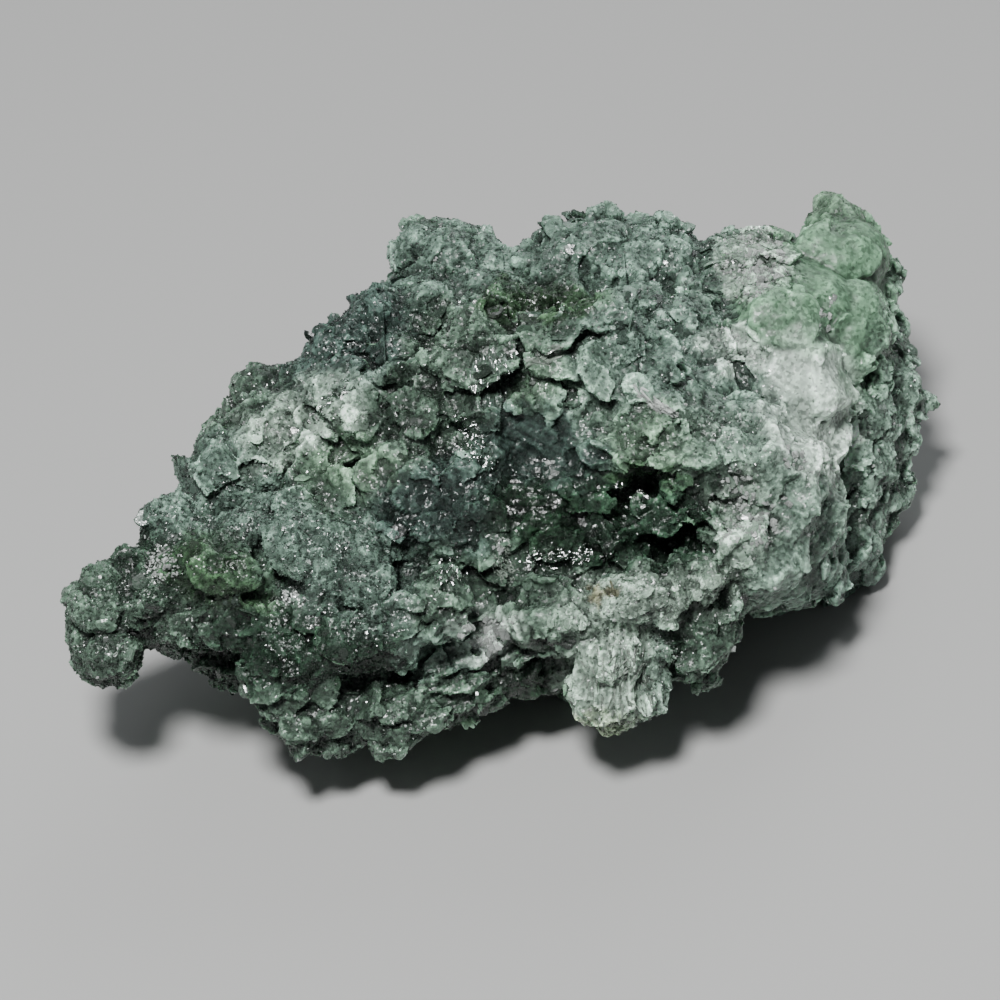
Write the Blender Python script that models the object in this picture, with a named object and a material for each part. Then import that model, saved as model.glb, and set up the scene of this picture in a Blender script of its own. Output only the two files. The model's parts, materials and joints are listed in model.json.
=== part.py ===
"""A rough prehnite stone, modelled as one faceted solid. Metres, +Z up, +X along the stone's length.

Places are given in the stone's show view: right, up and out towards the eye, in millimetres from a
point inside the front face. The show view looks down on the stone at SHOW_ELEVATION.
"""

import math
import random

import bmesh
import bpy
from mathutils import Matrix, Vector, noise

MM = 0.001

# The show view and how high its middle is over the table
SHOW_ELEVATION = math.radians(40)
SHOW_ROLL = math.radians(4)
VIEW_POINT_HEIGHT = 27

# How finely the stone is built, in millimetres, how many triangles it may have, and how round its
# lumps start out
SKIN_VOXEL = 0.6
MOST_TRIANGLES = 9600
LUMP_SUBDIVISIONS = 3
RANDOM_SEED = 41

# Each mass is (right, up, out), half sizes along right, up and out, and its turn in the view plane
MASSES = {
    "heart": ((3, 0.4, -17.6), (24, 15.6, 16), 22),
    "belly": ((6, -1, -23), (23, 11.5, 11.5), 12),
    "saddle": ((15, 13.0, -21), (13, 6.5, 10), -6),
    "left_shoulder": ((-14.8, -9.5, -11), (12, 9, 10), 12),
    "front_lobe": ((-13.5, -16.4, -8.5), (7.6, 5.8, 5), -8),
    "arm": ((-24.5, -7.4, -8), (8.6, 5.8, 6.6), 25),
    "arm_neck": ((-29.4, -6.6, -7), (5, 3.6, 4.3), 30),
    "knob": ((-34.4, -11.0, -5.5), (3.7, 5.6, 4.2), -8),
    "under_arm": ((-24.5, -12.4, -15), (5.2, 4.0, 5), -25),
    "back_left": ((-21.5, 3.6, -20), (9.5, 5.4, 8), 40),
    "back_left_lump": ((-21.8, 8.6, -28), (3.2, 4.0, 4), 0),
    "back_slope": ((-10, 12.0, -25), (13, 7, 9), 38),
    "back_top_lump": ((-4.6, 21.4, -31), (5.4, 4.8, 6), 0),
    "back_ridge": ((10, 20.4, -29), (10, 5.6, 9), 4),
    "right_top": ((22.9, 20.0, -27), (9, 5, 8), 0),
    "green_dome": ((32.2, 23.0, -28), (4.2, 3.5, 4), 0),
    "green_tip": ((31.6, 26.0, -31), (2.7, 2.7, 3), 0),
    "green_side": ((33.0, 15.7, -26), (3.3, 5.6, 4.5), 5),
    "green_back": ((34.2, 17.6, -33), (3.2, 7.6, 5), 8),
    "far_right": ((35.2, 6.8, -33), (3.9, 10.5, 7), -3),
    "far_belly": ((31, 6, -29), (6, 12, 8), 0),
    "right_mass": ((21.5, 0, -15), (9.5, 10.5, 12), 12),
    "right_low": ((26.0, -4.4, -17), (5, 5, 8), 30),
    "right_under": ((30.2, -4.6, -28), (6.0, 4.2, 7), 30),
    "pale_slope": ((25.5, 10.9, -16.5), (5.6, 9, 7), 18),
    "tooth": ((10.2, -15.4, -6.2), (4.1, 5.2, 3.6), -6),
    "bottom_middle": ((2.6, -11.0, -10), (9, 5.6, 7), 10),
    "bottom_ledge": ((-4.4, -15.6, -9), (5.6, 2.4, 4), 25),
    "right_ledge": ((17.0, -10.8, -12), (5.2, 3.0, 5), 28),
}

# Rounded knobs of crust that stand on the masses, given in the same way
LUMPS = {
    "arm_green": ((-25.4, -5.4, -1.8), (3.6, 2.6, 2.4), 10),
    "arm_top": ((-29.6, -1.9, -7.5), (2.8, 2.2, 2.5), 20),
    "neck_front": ((-30.6, -8.4, -3.6), (2.2, 2.6, 2.4), 0),
    "arm_low": ((-22.8, -10.2, -2.5), (3.0, 2.4, 2.6), -20),
    "arm_back": ((-20.0, -2.0, -3.4), (4.4, 2.5, 3), 12),
    "shoulder_round": ((-19.0, -13.6, -3.0), (3.9, 4.0, 3), 0),
    "lobe_left": ((-16.4, -19.8, -6.0), (4.2, 2.6, 3), -24),
    "shoulder_front": ((-11.4, -12.0, -1.6), (5.2, 3.4, 3), 8),
    "shoulder_top": ((-14.2, -5.0, -2.0), (4.8, 3.6, 3), 24),
    "lobe_right": ((-8.4, -19.2, -5.6), (4.0, 2.5, 3), 28),
    "block_middle": ((-5.4, -8.8, -0.8), (3.0, 3.4, 2.6), 10),
    "low_middle": ((4.6, -10.2, -2.4), (4.4, 3.2, 3), -10),
    "crest_left": ((-3.0, 11.4, -4.4), (3.8, 3.0, 3.4), 20),
    "crest_middle": ((2.8, 12.8, -5.0), (4.2, 2.6, 3.6), -4),
    "crest_right": ((8.2, 10.8, -5.0), (3.6, 3.0, 3.4), -28),
    "middle_top": ((-8.0, 5.6, -3.8), (3.4, 2.8, 3), 30),
    "brow": ((14.8, 5.4, -2.8), (6.4, 2.4, 3.2), -14),
    "ridge_right": ((14.2, 8.8, -4.4), (7.0, 2.8, 4), -24),
    "flank_right": ((21.4, 4.0, -4.0), (6.0, 4.2, 4), -20),
    "flank_low": ((23.0, -3.4, -5.2), (4.8, 4.6, 4), 30),
    "shelf_right": ((13.4, -8.0, -2.0), (6.4, 2.4, 3.4), 14),
    "dark_block": ((17.6, -10.4, -5.0), (2.8, 2.8, 3), 0),
    "back_knob_1": ((-7.0, 22.8, -28), (2.8, 2.5, 3), 0),
    "back_knob_2": ((-2.0, 22.2, -27.5), (3.0, 2.8, 3), 0),
    "back_knob_3": ((5.4, 22.8, -26.5), (2.8, 2.4, 3), 0),
    "back_knob_4": ((9.4, 23.8, -26), (3.0, 2.4, 3), 0),
    "back_knob_5": ((15.7, 22.2, -25.5), (3.2, 2.8, 3.4), 0),
    "back_knob_6": ((12.6, 18.6, -22), (4.0, 2.8, 3), 0),
    "back_knob_7": ((5.8, 18.4, -21), (3.6, 2.8, 3.4), 0),
    "back_knob_8": ((-0.4, 17.8, -20.5), (3.8, 2.8, 4), 0),
    "back_knob_9": ((-7.3, 16.6, -20), (4.2, 2.8, 4), 30),
    "back_knob_10": ((-14.0, 13.2, -22), (4.0, 2.8, 4), 30),
    "back_knob_11": ((-16.4, 8.4, -16.5), (5.0, 3.0, 4), 36),
    "back_knob_12": ((-22.0, 4.6, -16), (4.0, 2.8, 3.6), 36),
    "back_knob_13": ((-10.8, 8.6, -10), (4.0, 2.8, 3.6), 30),
    "back_knob_14": ((22.3, 21.4, -25), (3.4, 2.4, 3), 0),
    "pale_top": ((24.4, 17.2, -19), (3.6, 3.4, 3.6), 0),
    "saddle_front": ((19.0, 14.4, -14.5), (5.0, 2.8, 4), -14),
    "green_front": ((29.0, 17.6, -21.5), (3.8, 3.8, 3.4), 0),
}

# Lumps of the underside that reach the table: middle along the stone, across it and up, and half
# sizes in the same directions
FEET = {
    "left_foot": ((-13, 12, 4.2), (5.5, 6.5, 4.8)),
    "back_foot": ((-1, 27, 3.8), (6.5, 5.0, 4.4)),
    "front_foot": ((9, 6, 4.0), (6.5, 5.0, 4.5)),
    "right_foot": ((25, 17, 3.8), (5.0, 6.0, 4.4)),
}

# Fans of scales: centre, how far the scales reach, their first and last bearing in degrees, the
# number of scales and of rows, the size of a scale, and how far a scale's free edge lifts in degrees
FANS = {
    "middle_fan": ((-5.8, 1.6, -2.4), 3.8, 175, 375, 7, 2, 2.6, 30),
    "crest_fan": ((0.6, 11.4, -3.2), 4.4, 120, 330, 6, 2, 2.7, 30),
    "crest_right_fan": ((8.4, 11.6, -3.8), 4.0, 20, 170, 4, 2, 2.6, 26),
    "left_fan": ((-12.6, 3.4, -4.6), 3.4, 60, 250, 5, 1, 2.5, 26),
    "upper_left_fan": ((-8.4, 7.2, -4.0), 2.8, 50, 220, 4, 1, 2.3, 28),
    "brow_fan": ((15.2, 5.8, -2.6), 5.4, 190, 300, 5, 2, 2.9, 30),
    "brow_left_fan": ((10.2, 5.4, -3.4), 3.0, 150, 270, 3, 1, 2.2, 24),
    "ledge_fan": ((-4.6, -13.6, -7.2), 4.2, 205, 318, 5, 3, 2.0, 34),
    "lobe_fan": ((-9.2, -16.6, -5.2), 3.6, 220, 320, 3, 2, 2.1, 30),
    "tooth_fan": ((10.2, -13.4, -4.4), 4.8, 235, 300, 4, 2, 2.2, 12),
    "shelf_fan": ((14.2, -7.8, -2.8), 4.0, 215, 325, 4, 1, 2.2, 28),
    "right_edge_fan": ((16.6, -10.4, -8.2), 3.8, 235, 330, 4, 2, 1.9, 30),
    "right_mass_fan": ((21.5, 1.5, -2.4), 4.6, 250, 380, 4, 1, 2.8, 14),
}

# How an inner row of scales draws in, steps up and turns against the row below it, and the thickness
# of a scale, its corners, and how much its size, height and corners vary
ROW_DRAWS_IN = 0.42
ROW_STEPS_UP = 1.1
ROW_TURNS = 0.5
SCALE_THICKNESS = 1.5
SCALE_CORNERS = 11
SCALE_SIZES = (0.85, 1.1)
SCALE_HEIGHTS = (-0.3, 0.3)
SCALE_RAGGEDNESS = (0.82, 1.12)

# Hollows cut into the masses, given like the masses
HOLLOWS = {
    "brow_hollow": ((12.4, 0.4, -0.6), (4.6, 1.9, 5.0), -8),
    "heart_hollow": ((3.6, 5.2, 1.0), (5.6, 4.4, 5.0), -28),
    "dark_hollow": ((8.0, -1.4, 1.6), (7.4, 3.4, 4.6), -6),
    "fan_gap": ((-6.0, -5.2, 0.4), (5.4, 1.1, 4.2), 8),
    "block_gap": ((-1.0, -9.2, 1.2), (2.0, 3.6, 3.8), 0),
    "tooth_gap": ((4.8, -15.6, -5.0), (1.3, 3.6, 3.6), 8),
    "shoulder_gap": ((-17.6, -8.8, 0.4), (4.6, 0.9, 3.4), -22),
    "arm_gap": ((-24.8, -13.2, -6.4), (4.5, 2.6, 3.2), -28),
    "knob_gap": ((-31.2, -11.8, -3.0), (0.9, 2.6, 2.8), -14),
    "crest_gap": ((4.0, 16.6, -11.0), (8.0, 1.6, 4.4), -4),
    "side_gap": ((31.0, 4.5, -20), (1.4, 8, 3.8), -6),
    "back_gap": ((1.4, 25.4, -29), (2.4, 2.8, 5), 0),
    "left_gap": ((-15.6, 2.6, -8.5), (5.2, 1.2, 3.6), 38),
}

# Broken blocks scattered over the skin: how many, their size, and how deep they sink in it. The big
# ones stand only on the sides that the show view doesn't see.
BLOCKS = 300
BLOCK_RADIUS = (0.9, 2.1)
BLOCK_SINKS = 0.4
BIG_BLOCKS = 60
BIG_BLOCK_RADIUS = (2.4, 4.2)
BIG_BLOCK_SINKS = 0.7
BLOCK_POINTS = 14
BLOCK_SPREAD = (0.85, 1.1)
LOWEST_BLOCK = 2.5

# The waxy domes stay free of blocks and breaks within this reach of their middles
SMOOTH_DOMES = ("green_dome", "green_side", "green_front")
SMOOTH_REACH = 5.5

# Flat breaks: the size of a break, how much of the way and how far at most the skin moves to it, how
# much the breaks lean, and how far apart their leans are drawn
BREAK_CELL = 3.4
BREAK_SHARE = 0.5
BREAK_LIMIT = 0.6
BREAK_LEAN = 0.8
LEAN_STRIDE = 7.3

# The fine unevenness: its height, its size, and the fractal's dimension, lacunarity and octaves
ROUGHNESS = 0.38
ROUGH_GRAIN = 2.6
ROUGH_FRACTAL = (0.7, 2.2, 3)

# The block that cuts the underside flat, its side and its height
TABLE_SIDE = 200
TABLE_HEIGHT = 40

# The skin's material, in linear colour, and the angle over which two facets meet in a sharp edge
STONE_COLOUR = (0.135, 0.175, 0.135, 1.0)
STONE_ROUGHNESS = 0.5
SHARP_ANGLE = math.radians(30)


def from_view(right, up, out):
    """A place in the show view, in millimetres, as a world point in metres."""
    along = right * math.cos(SHOW_ROLL) + up * math.sin(SHOW_ROLL)
    rise = up * math.cos(SHOW_ROLL) - right * math.sin(SHOW_ROLL)
    depth = rise * math.sin(SHOW_ELEVATION) - out * math.cos(SHOW_ELEVATION)
    height = VIEW_POINT_HEIGHT + rise * math.cos(SHOW_ELEVATION) + out * math.sin(SHOW_ELEVATION)
    return Vector((along, depth, height)) * MM


def view_axes():
    """The show view's right, up and out as the columns of a rotation."""
    origin = from_view(0, 0, 0)
    units = ((1, 0, 0), (0, 1, 0), (0, 0, 1))
    columns = [(from_view(*unit) - origin).normalized() for unit in units]
    return Matrix(columns).transposed().to_4x4()


def clear_scene():
    for item in list(bpy.data.objects):
        bpy.data.objects.remove(item)


def add_object(name, bm):
    """Turns a bmesh into an object in the scene."""
    mesh = bpy.data.meshes.new(name)
    bm.to_mesh(mesh)
    bm.free()
    made = bpy.data.objects.new(name, mesh)
    bpy.context.scene.collection.objects.link(made)
    return made


def add_lump(bm, place, sizes, turn):
    """An ellipsoid whose half sizes run along the show view's own directions."""
    spin = Matrix.Rotation(math.radians(turn), 4, "Z")
    scale = Matrix.Diagonal([size * MM for size in sizes]).to_4x4()
    matrix = Matrix.Translation(from_view(*place)) @ view_axes() @ spin @ scale
    bmesh.ops.create_icosphere(bm, subdivisions=LUMP_SUBDIVISIONS, radius=1, matrix=matrix)


def add_scale(bm, place, radius, bearing, lift, rng):
    """One fish scale: a rounded slab that leans so that its far edge stands off the stone."""
    centre = from_view(*place)
    lean = Matrix.Rotation(bearing, 4, "Z") @ Matrix.Rotation(-math.radians(lift), 4, "Y")
    matrix = Matrix.Translation(centre) @ view_axes() @ lean
    made = bmesh.ops.create_circle(
        bm, cap_ends=True, segments=SCALE_CORNERS, radius=radius * MM, matrix=matrix
    )
    for vert in made["verts"]:
        vert.co = centre + (vert.co - centre) * rng.uniform(*SCALE_RAGGEDNESS)
    face = made["verts"][0].link_faces[0]
    grown = bmesh.ops.extrude_face_region(bm, geom=[face])
    under = [item for item in grown["geom"] if isinstance(item, bmesh.types.BMVert)]
    inward = -(matrix.to_3x3() @ Vector((0, 0, 1))) * SCALE_THICKNESS * MM
    bmesh.ops.translate(bm, verts=under, vec=inward)


def add_fan(bm, place, reach, first, last, count, rows, size, lift, rng):
    """Rows of scales that spread from one place like an open hand, the inner rows on top."""
    for row in range(rows):
        row_reach = reach * (1 - ROW_DRAWS_IN * row)
        for step in range(count):
            share = min((step + ROW_TURNS * (row % 2)) / (count - 1), 1.0)
            bearing = math.radians(first + (last - first) * share)
            right = place[0] + row_reach * math.cos(bearing)
            up = place[1] + row_reach * math.sin(bearing)
            out = place[2] + ROW_STEPS_UP * row + rng.uniform(*SCALE_HEIGHTS)
            radius = size * rng.uniform(*SCALE_SIZES)
            add_scale(bm, (right, up, out), radius, bearing, lift, rng)


def bake_modifiers(item):
    """Puts the modifiers' result into the object's mesh and takes them off."""
    graph = bpy.context.evaluated_depsgraph_get()
    mesh = bpy.data.meshes.new_from_object(item.evaluated_get(graph))
    item.modifiers.clear()
    item.data = mesh


def fuse(item):
    """Makes overlapping bodies one skin."""
    modifier = item.modifiers.new("fuse", "REMESH")
    modifier.mode = "VOXEL"
    modifier.voxel_size = SKIN_VOXEL * MM
    bake_modifiers(item)


def make_triangles(item):
    """Splits the faces into triangles, which stay flat whatever cuts them."""
    modifier = item.modifiers.new("triangles", "TRIANGULATE")
    modifier.quad_method = "FIXED"
    bake_modifiers(item)


def subtract(item, cutter):
    make_triangles(item)
    make_triangles(cutter)
    modifier = item.modifiers.new("cut", "BOOLEAN")
    modifier.operation = "DIFFERENCE"
    modifier.solver = "EXACT"
    modifier.object = cutter
    bake_modifiers(item)


def hide_helper(item):
    item.hide_render = True
    item.display_type = "WIRE"


def make_masses(rng):
    bm = bmesh.new()
    for place, sizes, turn in [*MASSES.values(), *LUMPS.values()]:
        add_lump(bm, place, sizes, turn)
    for place, sizes in FEET.values():
        matrix = Matrix.Translation(Vector(place) * MM) @ Matrix.Diagonal(Vector(sizes) * MM).to_4x4()
        bmesh.ops.create_icosphere(bm, subdivisions=LUMP_SUBDIVISIONS, radius=1, matrix=matrix)
    for place, reach, first, last, count, rows, size, lift in FANS.values():
        add_fan(bm, place, reach, first, last, count, rows, size, lift, rng)
    bmesh.ops.recalc_face_normals(bm, faces=bm.faces)
    return add_object("prehnite_stone", bm)


def make_hollows():
    bm = bmesh.new()
    for place, sizes, turn in HOLLOWS.values():
        add_lump(bm, place, sizes, turn)
    hollows = add_object("hollows", bm)
    fuse(hollows)
    hide_helper(hollows)
    return hollows


def dome_middles():
    places = {**MASSES, **LUMPS}
    return [from_view(*places[name][0]) for name in SMOOTH_DOMES]


def is_smooth(point, middles):
    """True on the waxy domes."""
    return any((point - middle).length < SMOOTH_REACH * MM for middle in middles)


def add_block(bm, centre, radius, rng):
    """One broken block: the hull of a few points scattered near a sphere."""
    block = bmesh.new()
    for _ in range(BLOCK_POINTS):
        ray = Vector([rng.gauss(0, 1) for _ in range(3)]).normalized()
        block.verts.new(centre + ray * radius * rng.uniform(*BLOCK_SPREAD))
    bmesh.ops.convex_hull(block, input=block.verts)
    loose = [vert for vert in block.verts if not vert.link_faces]
    bmesh.ops.delete(block, geom=loose, context="VERTS")
    bmesh.ops.recalc_face_normals(block, faces=block.faces)
    hull = bpy.data.meshes.new("block")
    block.to_mesh(hull)
    block.free()
    bm.from_mesh(hull)
    bpy.data.meshes.remove(hull)


def scatter_blocks(stone, rng):
    """Adds broken blocks all over, and big ones on the far sides, all partly sunk in the skin."""
    middles = dome_middles()
    to_eye = view_axes().col[2].to_3d()
    faces = [face for face in stone.data.polygons if face.center.z > LOWEST_BLOCK * MM]
    far_faces = [face for face in faces if face.normal.dot(to_eye) < 0]
    picks = [(face, BLOCK_RADIUS, BLOCK_SINKS) for face in rng.sample(faces, BLOCKS)]
    picks += [(face, BIG_BLOCK_RADIUS, BIG_BLOCK_SINKS) for face in rng.sample(far_faces, BIG_BLOCKS)]
    bm = bmesh.new()
    bm.from_mesh(stone.data)
    for face, radii, sinks in picks:
        radius = rng.uniform(*radii) * MM
        if not is_smooth(face.center, middles):
            add_block(bm, face.center - face.normal * radius * sinks, radius, rng)
    bm.to_mesh(stone.data)
    bm.free()


def skin_move(vert):
    """How far a point of the skin moves, in millimetres, towards its break and by the unevenness."""
    place = vert.co / MM
    _, cells = noise.voronoi(place / BREAK_CELL)
    lean = noise.noise_vector(cells[0] * LEAN_STRIDE)
    facing = (vert.normal + lean * BREAK_LEAN).normalized()
    to_break = (cells[0] * BREAK_CELL - place).dot(facing) * BREAK_SHARE
    limited = max(-BREAK_LIMIT, min(BREAK_LIMIT, to_break))
    grain = noise.fractal(place / ROUGH_GRAIN, *ROUGH_FRACTAL)
    return facing * limited + vert.normal * grain * ROUGHNESS


def roughen(stone):
    """Pulls each cell of the skin towards one flat break, and adds a fine unevenness."""
    middles = dome_middles()
    bm = bmesh.new()
    bm.from_mesh(stone.data)
    bm.normal_update()
    rough = [vert for vert in bm.verts if not is_smooth(vert.co, middles)]
    moves = [skin_move(vert) * MM for vert in rough]
    for vert, move in zip(rough, moves):
        vert.co += move
    bm.to_mesh(stone.data)
    bm.free()


def thin_out(stone):
    modifier = stone.modifiers.new("thin", "DECIMATE")
    triangles = sum(len(face.vertices) - 2 for face in stone.data.polygons)
    modifier.ratio = MOST_TRIANGLES / triangles
    bake_modifiers(stone)


def cut_rest_spot(stone):
    """Cuts the underside flat at the table."""
    bm = bmesh.new()
    bmesh.ops.create_cube(bm, size=MM)
    bmesh.ops.scale(bm, vec=(TABLE_SIDE, TABLE_SIDE, TABLE_HEIGHT), verts=bm.verts)
    bmesh.ops.translate(bm, vec=(0, 0, -TABLE_HEIGHT * MM / 2), verts=bm.verts)
    table = add_object("table_cut", bm)
    subtract(stone, table)
    hide_helper(table)


def linked_group(start, seen):
    """All points that edges join to this one."""
    group = []
    queue = [start]
    seen.add(start)
    while queue:
        vert = queue.pop()
        group.append(vert)
        for edge in vert.link_edges:
            other = edge.other_vert(vert)
            if other not in seen:
                seen.add(other)
                queue.append(other)
    return group


def keep_largest(stone):
    """Drops any crumb that the cuts have left loose."""
    bm = bmesh.new()
    bm.from_mesh(stone.data)
    seen = set()
    groups = [linked_group(vert, seen) for vert in bm.verts if vert not in seen]
    groups.sort(key=len)
    crumbs = [vert for group in groups[:-1] for vert in group]
    bmesh.ops.delete(bm, geom=crumbs, context="VERTS")
    bm.to_mesh(stone.data)
    bm.free()


def centre_over_origin(stone):
    """Moves the stone sideways until the middle of its box is over the origin."""
    shift = Vector()
    for axis in (0, 1):
        places = [vert.co[axis] for vert in stone.data.vertices]
        shift[axis] = -(min(places) + max(places)) / 2
    for vert in stone.data.vertices:
        vert.co += shift
    view_point = from_view(0, 0, 0) + shift
    print("the show view's middle is at", [round(value / MM, 2) for value in view_point], "mm")
    return view_point


def finish_skin(stone):
    """Gives the stone its material, and smooth shading between its sharp edges."""
    material = bpy.data.materials.new("prehnite")
    material.use_nodes = True
    shader = material.node_tree.nodes["Principled BSDF"]
    shader.inputs["Base Color"].default_value = STONE_COLOUR
    shader.inputs["Roughness"].default_value = STONE_ROUGHNESS
    shader.inputs["Metallic"].default_value = 0.0
    stone.data.materials.clear()
    stone.data.materials.append(material)
    stone.data.shade_smooth()
    stone.data.set_sharp_from_angle(angle=SHARP_ANGLE)


def build():
    clear_scene()
    rng = random.Random(RANDOM_SEED)
    stone = make_masses(rng)
    fuse(stone)
    subtract(stone, make_hollows())
    fuse(stone)
    scatter_blocks(stone, rng)
    fuse(stone)
    keep_largest(stone)
    roughen(stone)
    fuse(stone)
    keep_largest(stone)
    thin_out(stone)
    cut_rest_spot(stone)
    keep_largest(stone)
    finish_skin(stone)
    return centre_over_origin(stone)


VIEW_POINT = build()
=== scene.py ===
import json
import math

import bmesh
import bpy
import numpy as np
from mathutils import Matrix, Vector, noise
from mathutils.bvhtree import BVHTree
from mathutils.kdtree import KDTree

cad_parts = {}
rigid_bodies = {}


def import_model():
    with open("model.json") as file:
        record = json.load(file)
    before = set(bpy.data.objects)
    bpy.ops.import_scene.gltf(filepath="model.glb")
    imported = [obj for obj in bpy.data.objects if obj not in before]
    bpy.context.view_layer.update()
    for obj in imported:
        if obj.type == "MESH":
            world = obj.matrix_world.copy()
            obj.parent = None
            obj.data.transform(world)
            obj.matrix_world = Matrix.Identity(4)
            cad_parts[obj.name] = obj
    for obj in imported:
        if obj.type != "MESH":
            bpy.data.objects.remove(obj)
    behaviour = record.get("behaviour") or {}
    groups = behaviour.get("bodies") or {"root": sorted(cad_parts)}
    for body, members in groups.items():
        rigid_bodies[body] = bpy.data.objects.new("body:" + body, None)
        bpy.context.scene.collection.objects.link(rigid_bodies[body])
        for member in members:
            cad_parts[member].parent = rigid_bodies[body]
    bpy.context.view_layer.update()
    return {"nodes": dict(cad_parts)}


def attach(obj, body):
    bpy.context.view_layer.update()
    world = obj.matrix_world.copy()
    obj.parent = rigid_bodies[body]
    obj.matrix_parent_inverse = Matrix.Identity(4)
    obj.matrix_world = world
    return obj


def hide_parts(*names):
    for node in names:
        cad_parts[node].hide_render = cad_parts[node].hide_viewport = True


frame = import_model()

mm = 0.001
nodeName = "prehnite_stone"

# the show view: the camera looks down on the stone, slightly rolled; middle is a point inside the front face
showView = {"elevation": 40, "roll": 4, "distance": 400, "mmPerPixel": 0.087, "middle": (-0.44, -16.06, 27.0)}

palette = {  # linear colours of this stone
    "deep": (0.004, 0.010, 0.005),
    "dark": (0.013, 0.025, 0.016),
    "blue": (0.027, 0.040, 0.035),
    "moss": (0.022, 0.041, 0.021),
    "grey": (0.042, 0.061, 0.046),
    "ash": (0.072, 0.102, 0.084),
    "sage": (0.066, 0.098, 0.068),
    "dome": (0.095, 0.165, 0.105),
    "mist": (0.115, 0.158, 0.128),
    "pale": (0.210, 0.260, 0.215),
    "milk": (0.420, 0.480, 0.425),
    "white": (0.460, 0.500, 0.470),
    "straw": (0.200, 0.228, 0.135),
    "ochre": (0.240, 0.170, 0.070),
}

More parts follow.
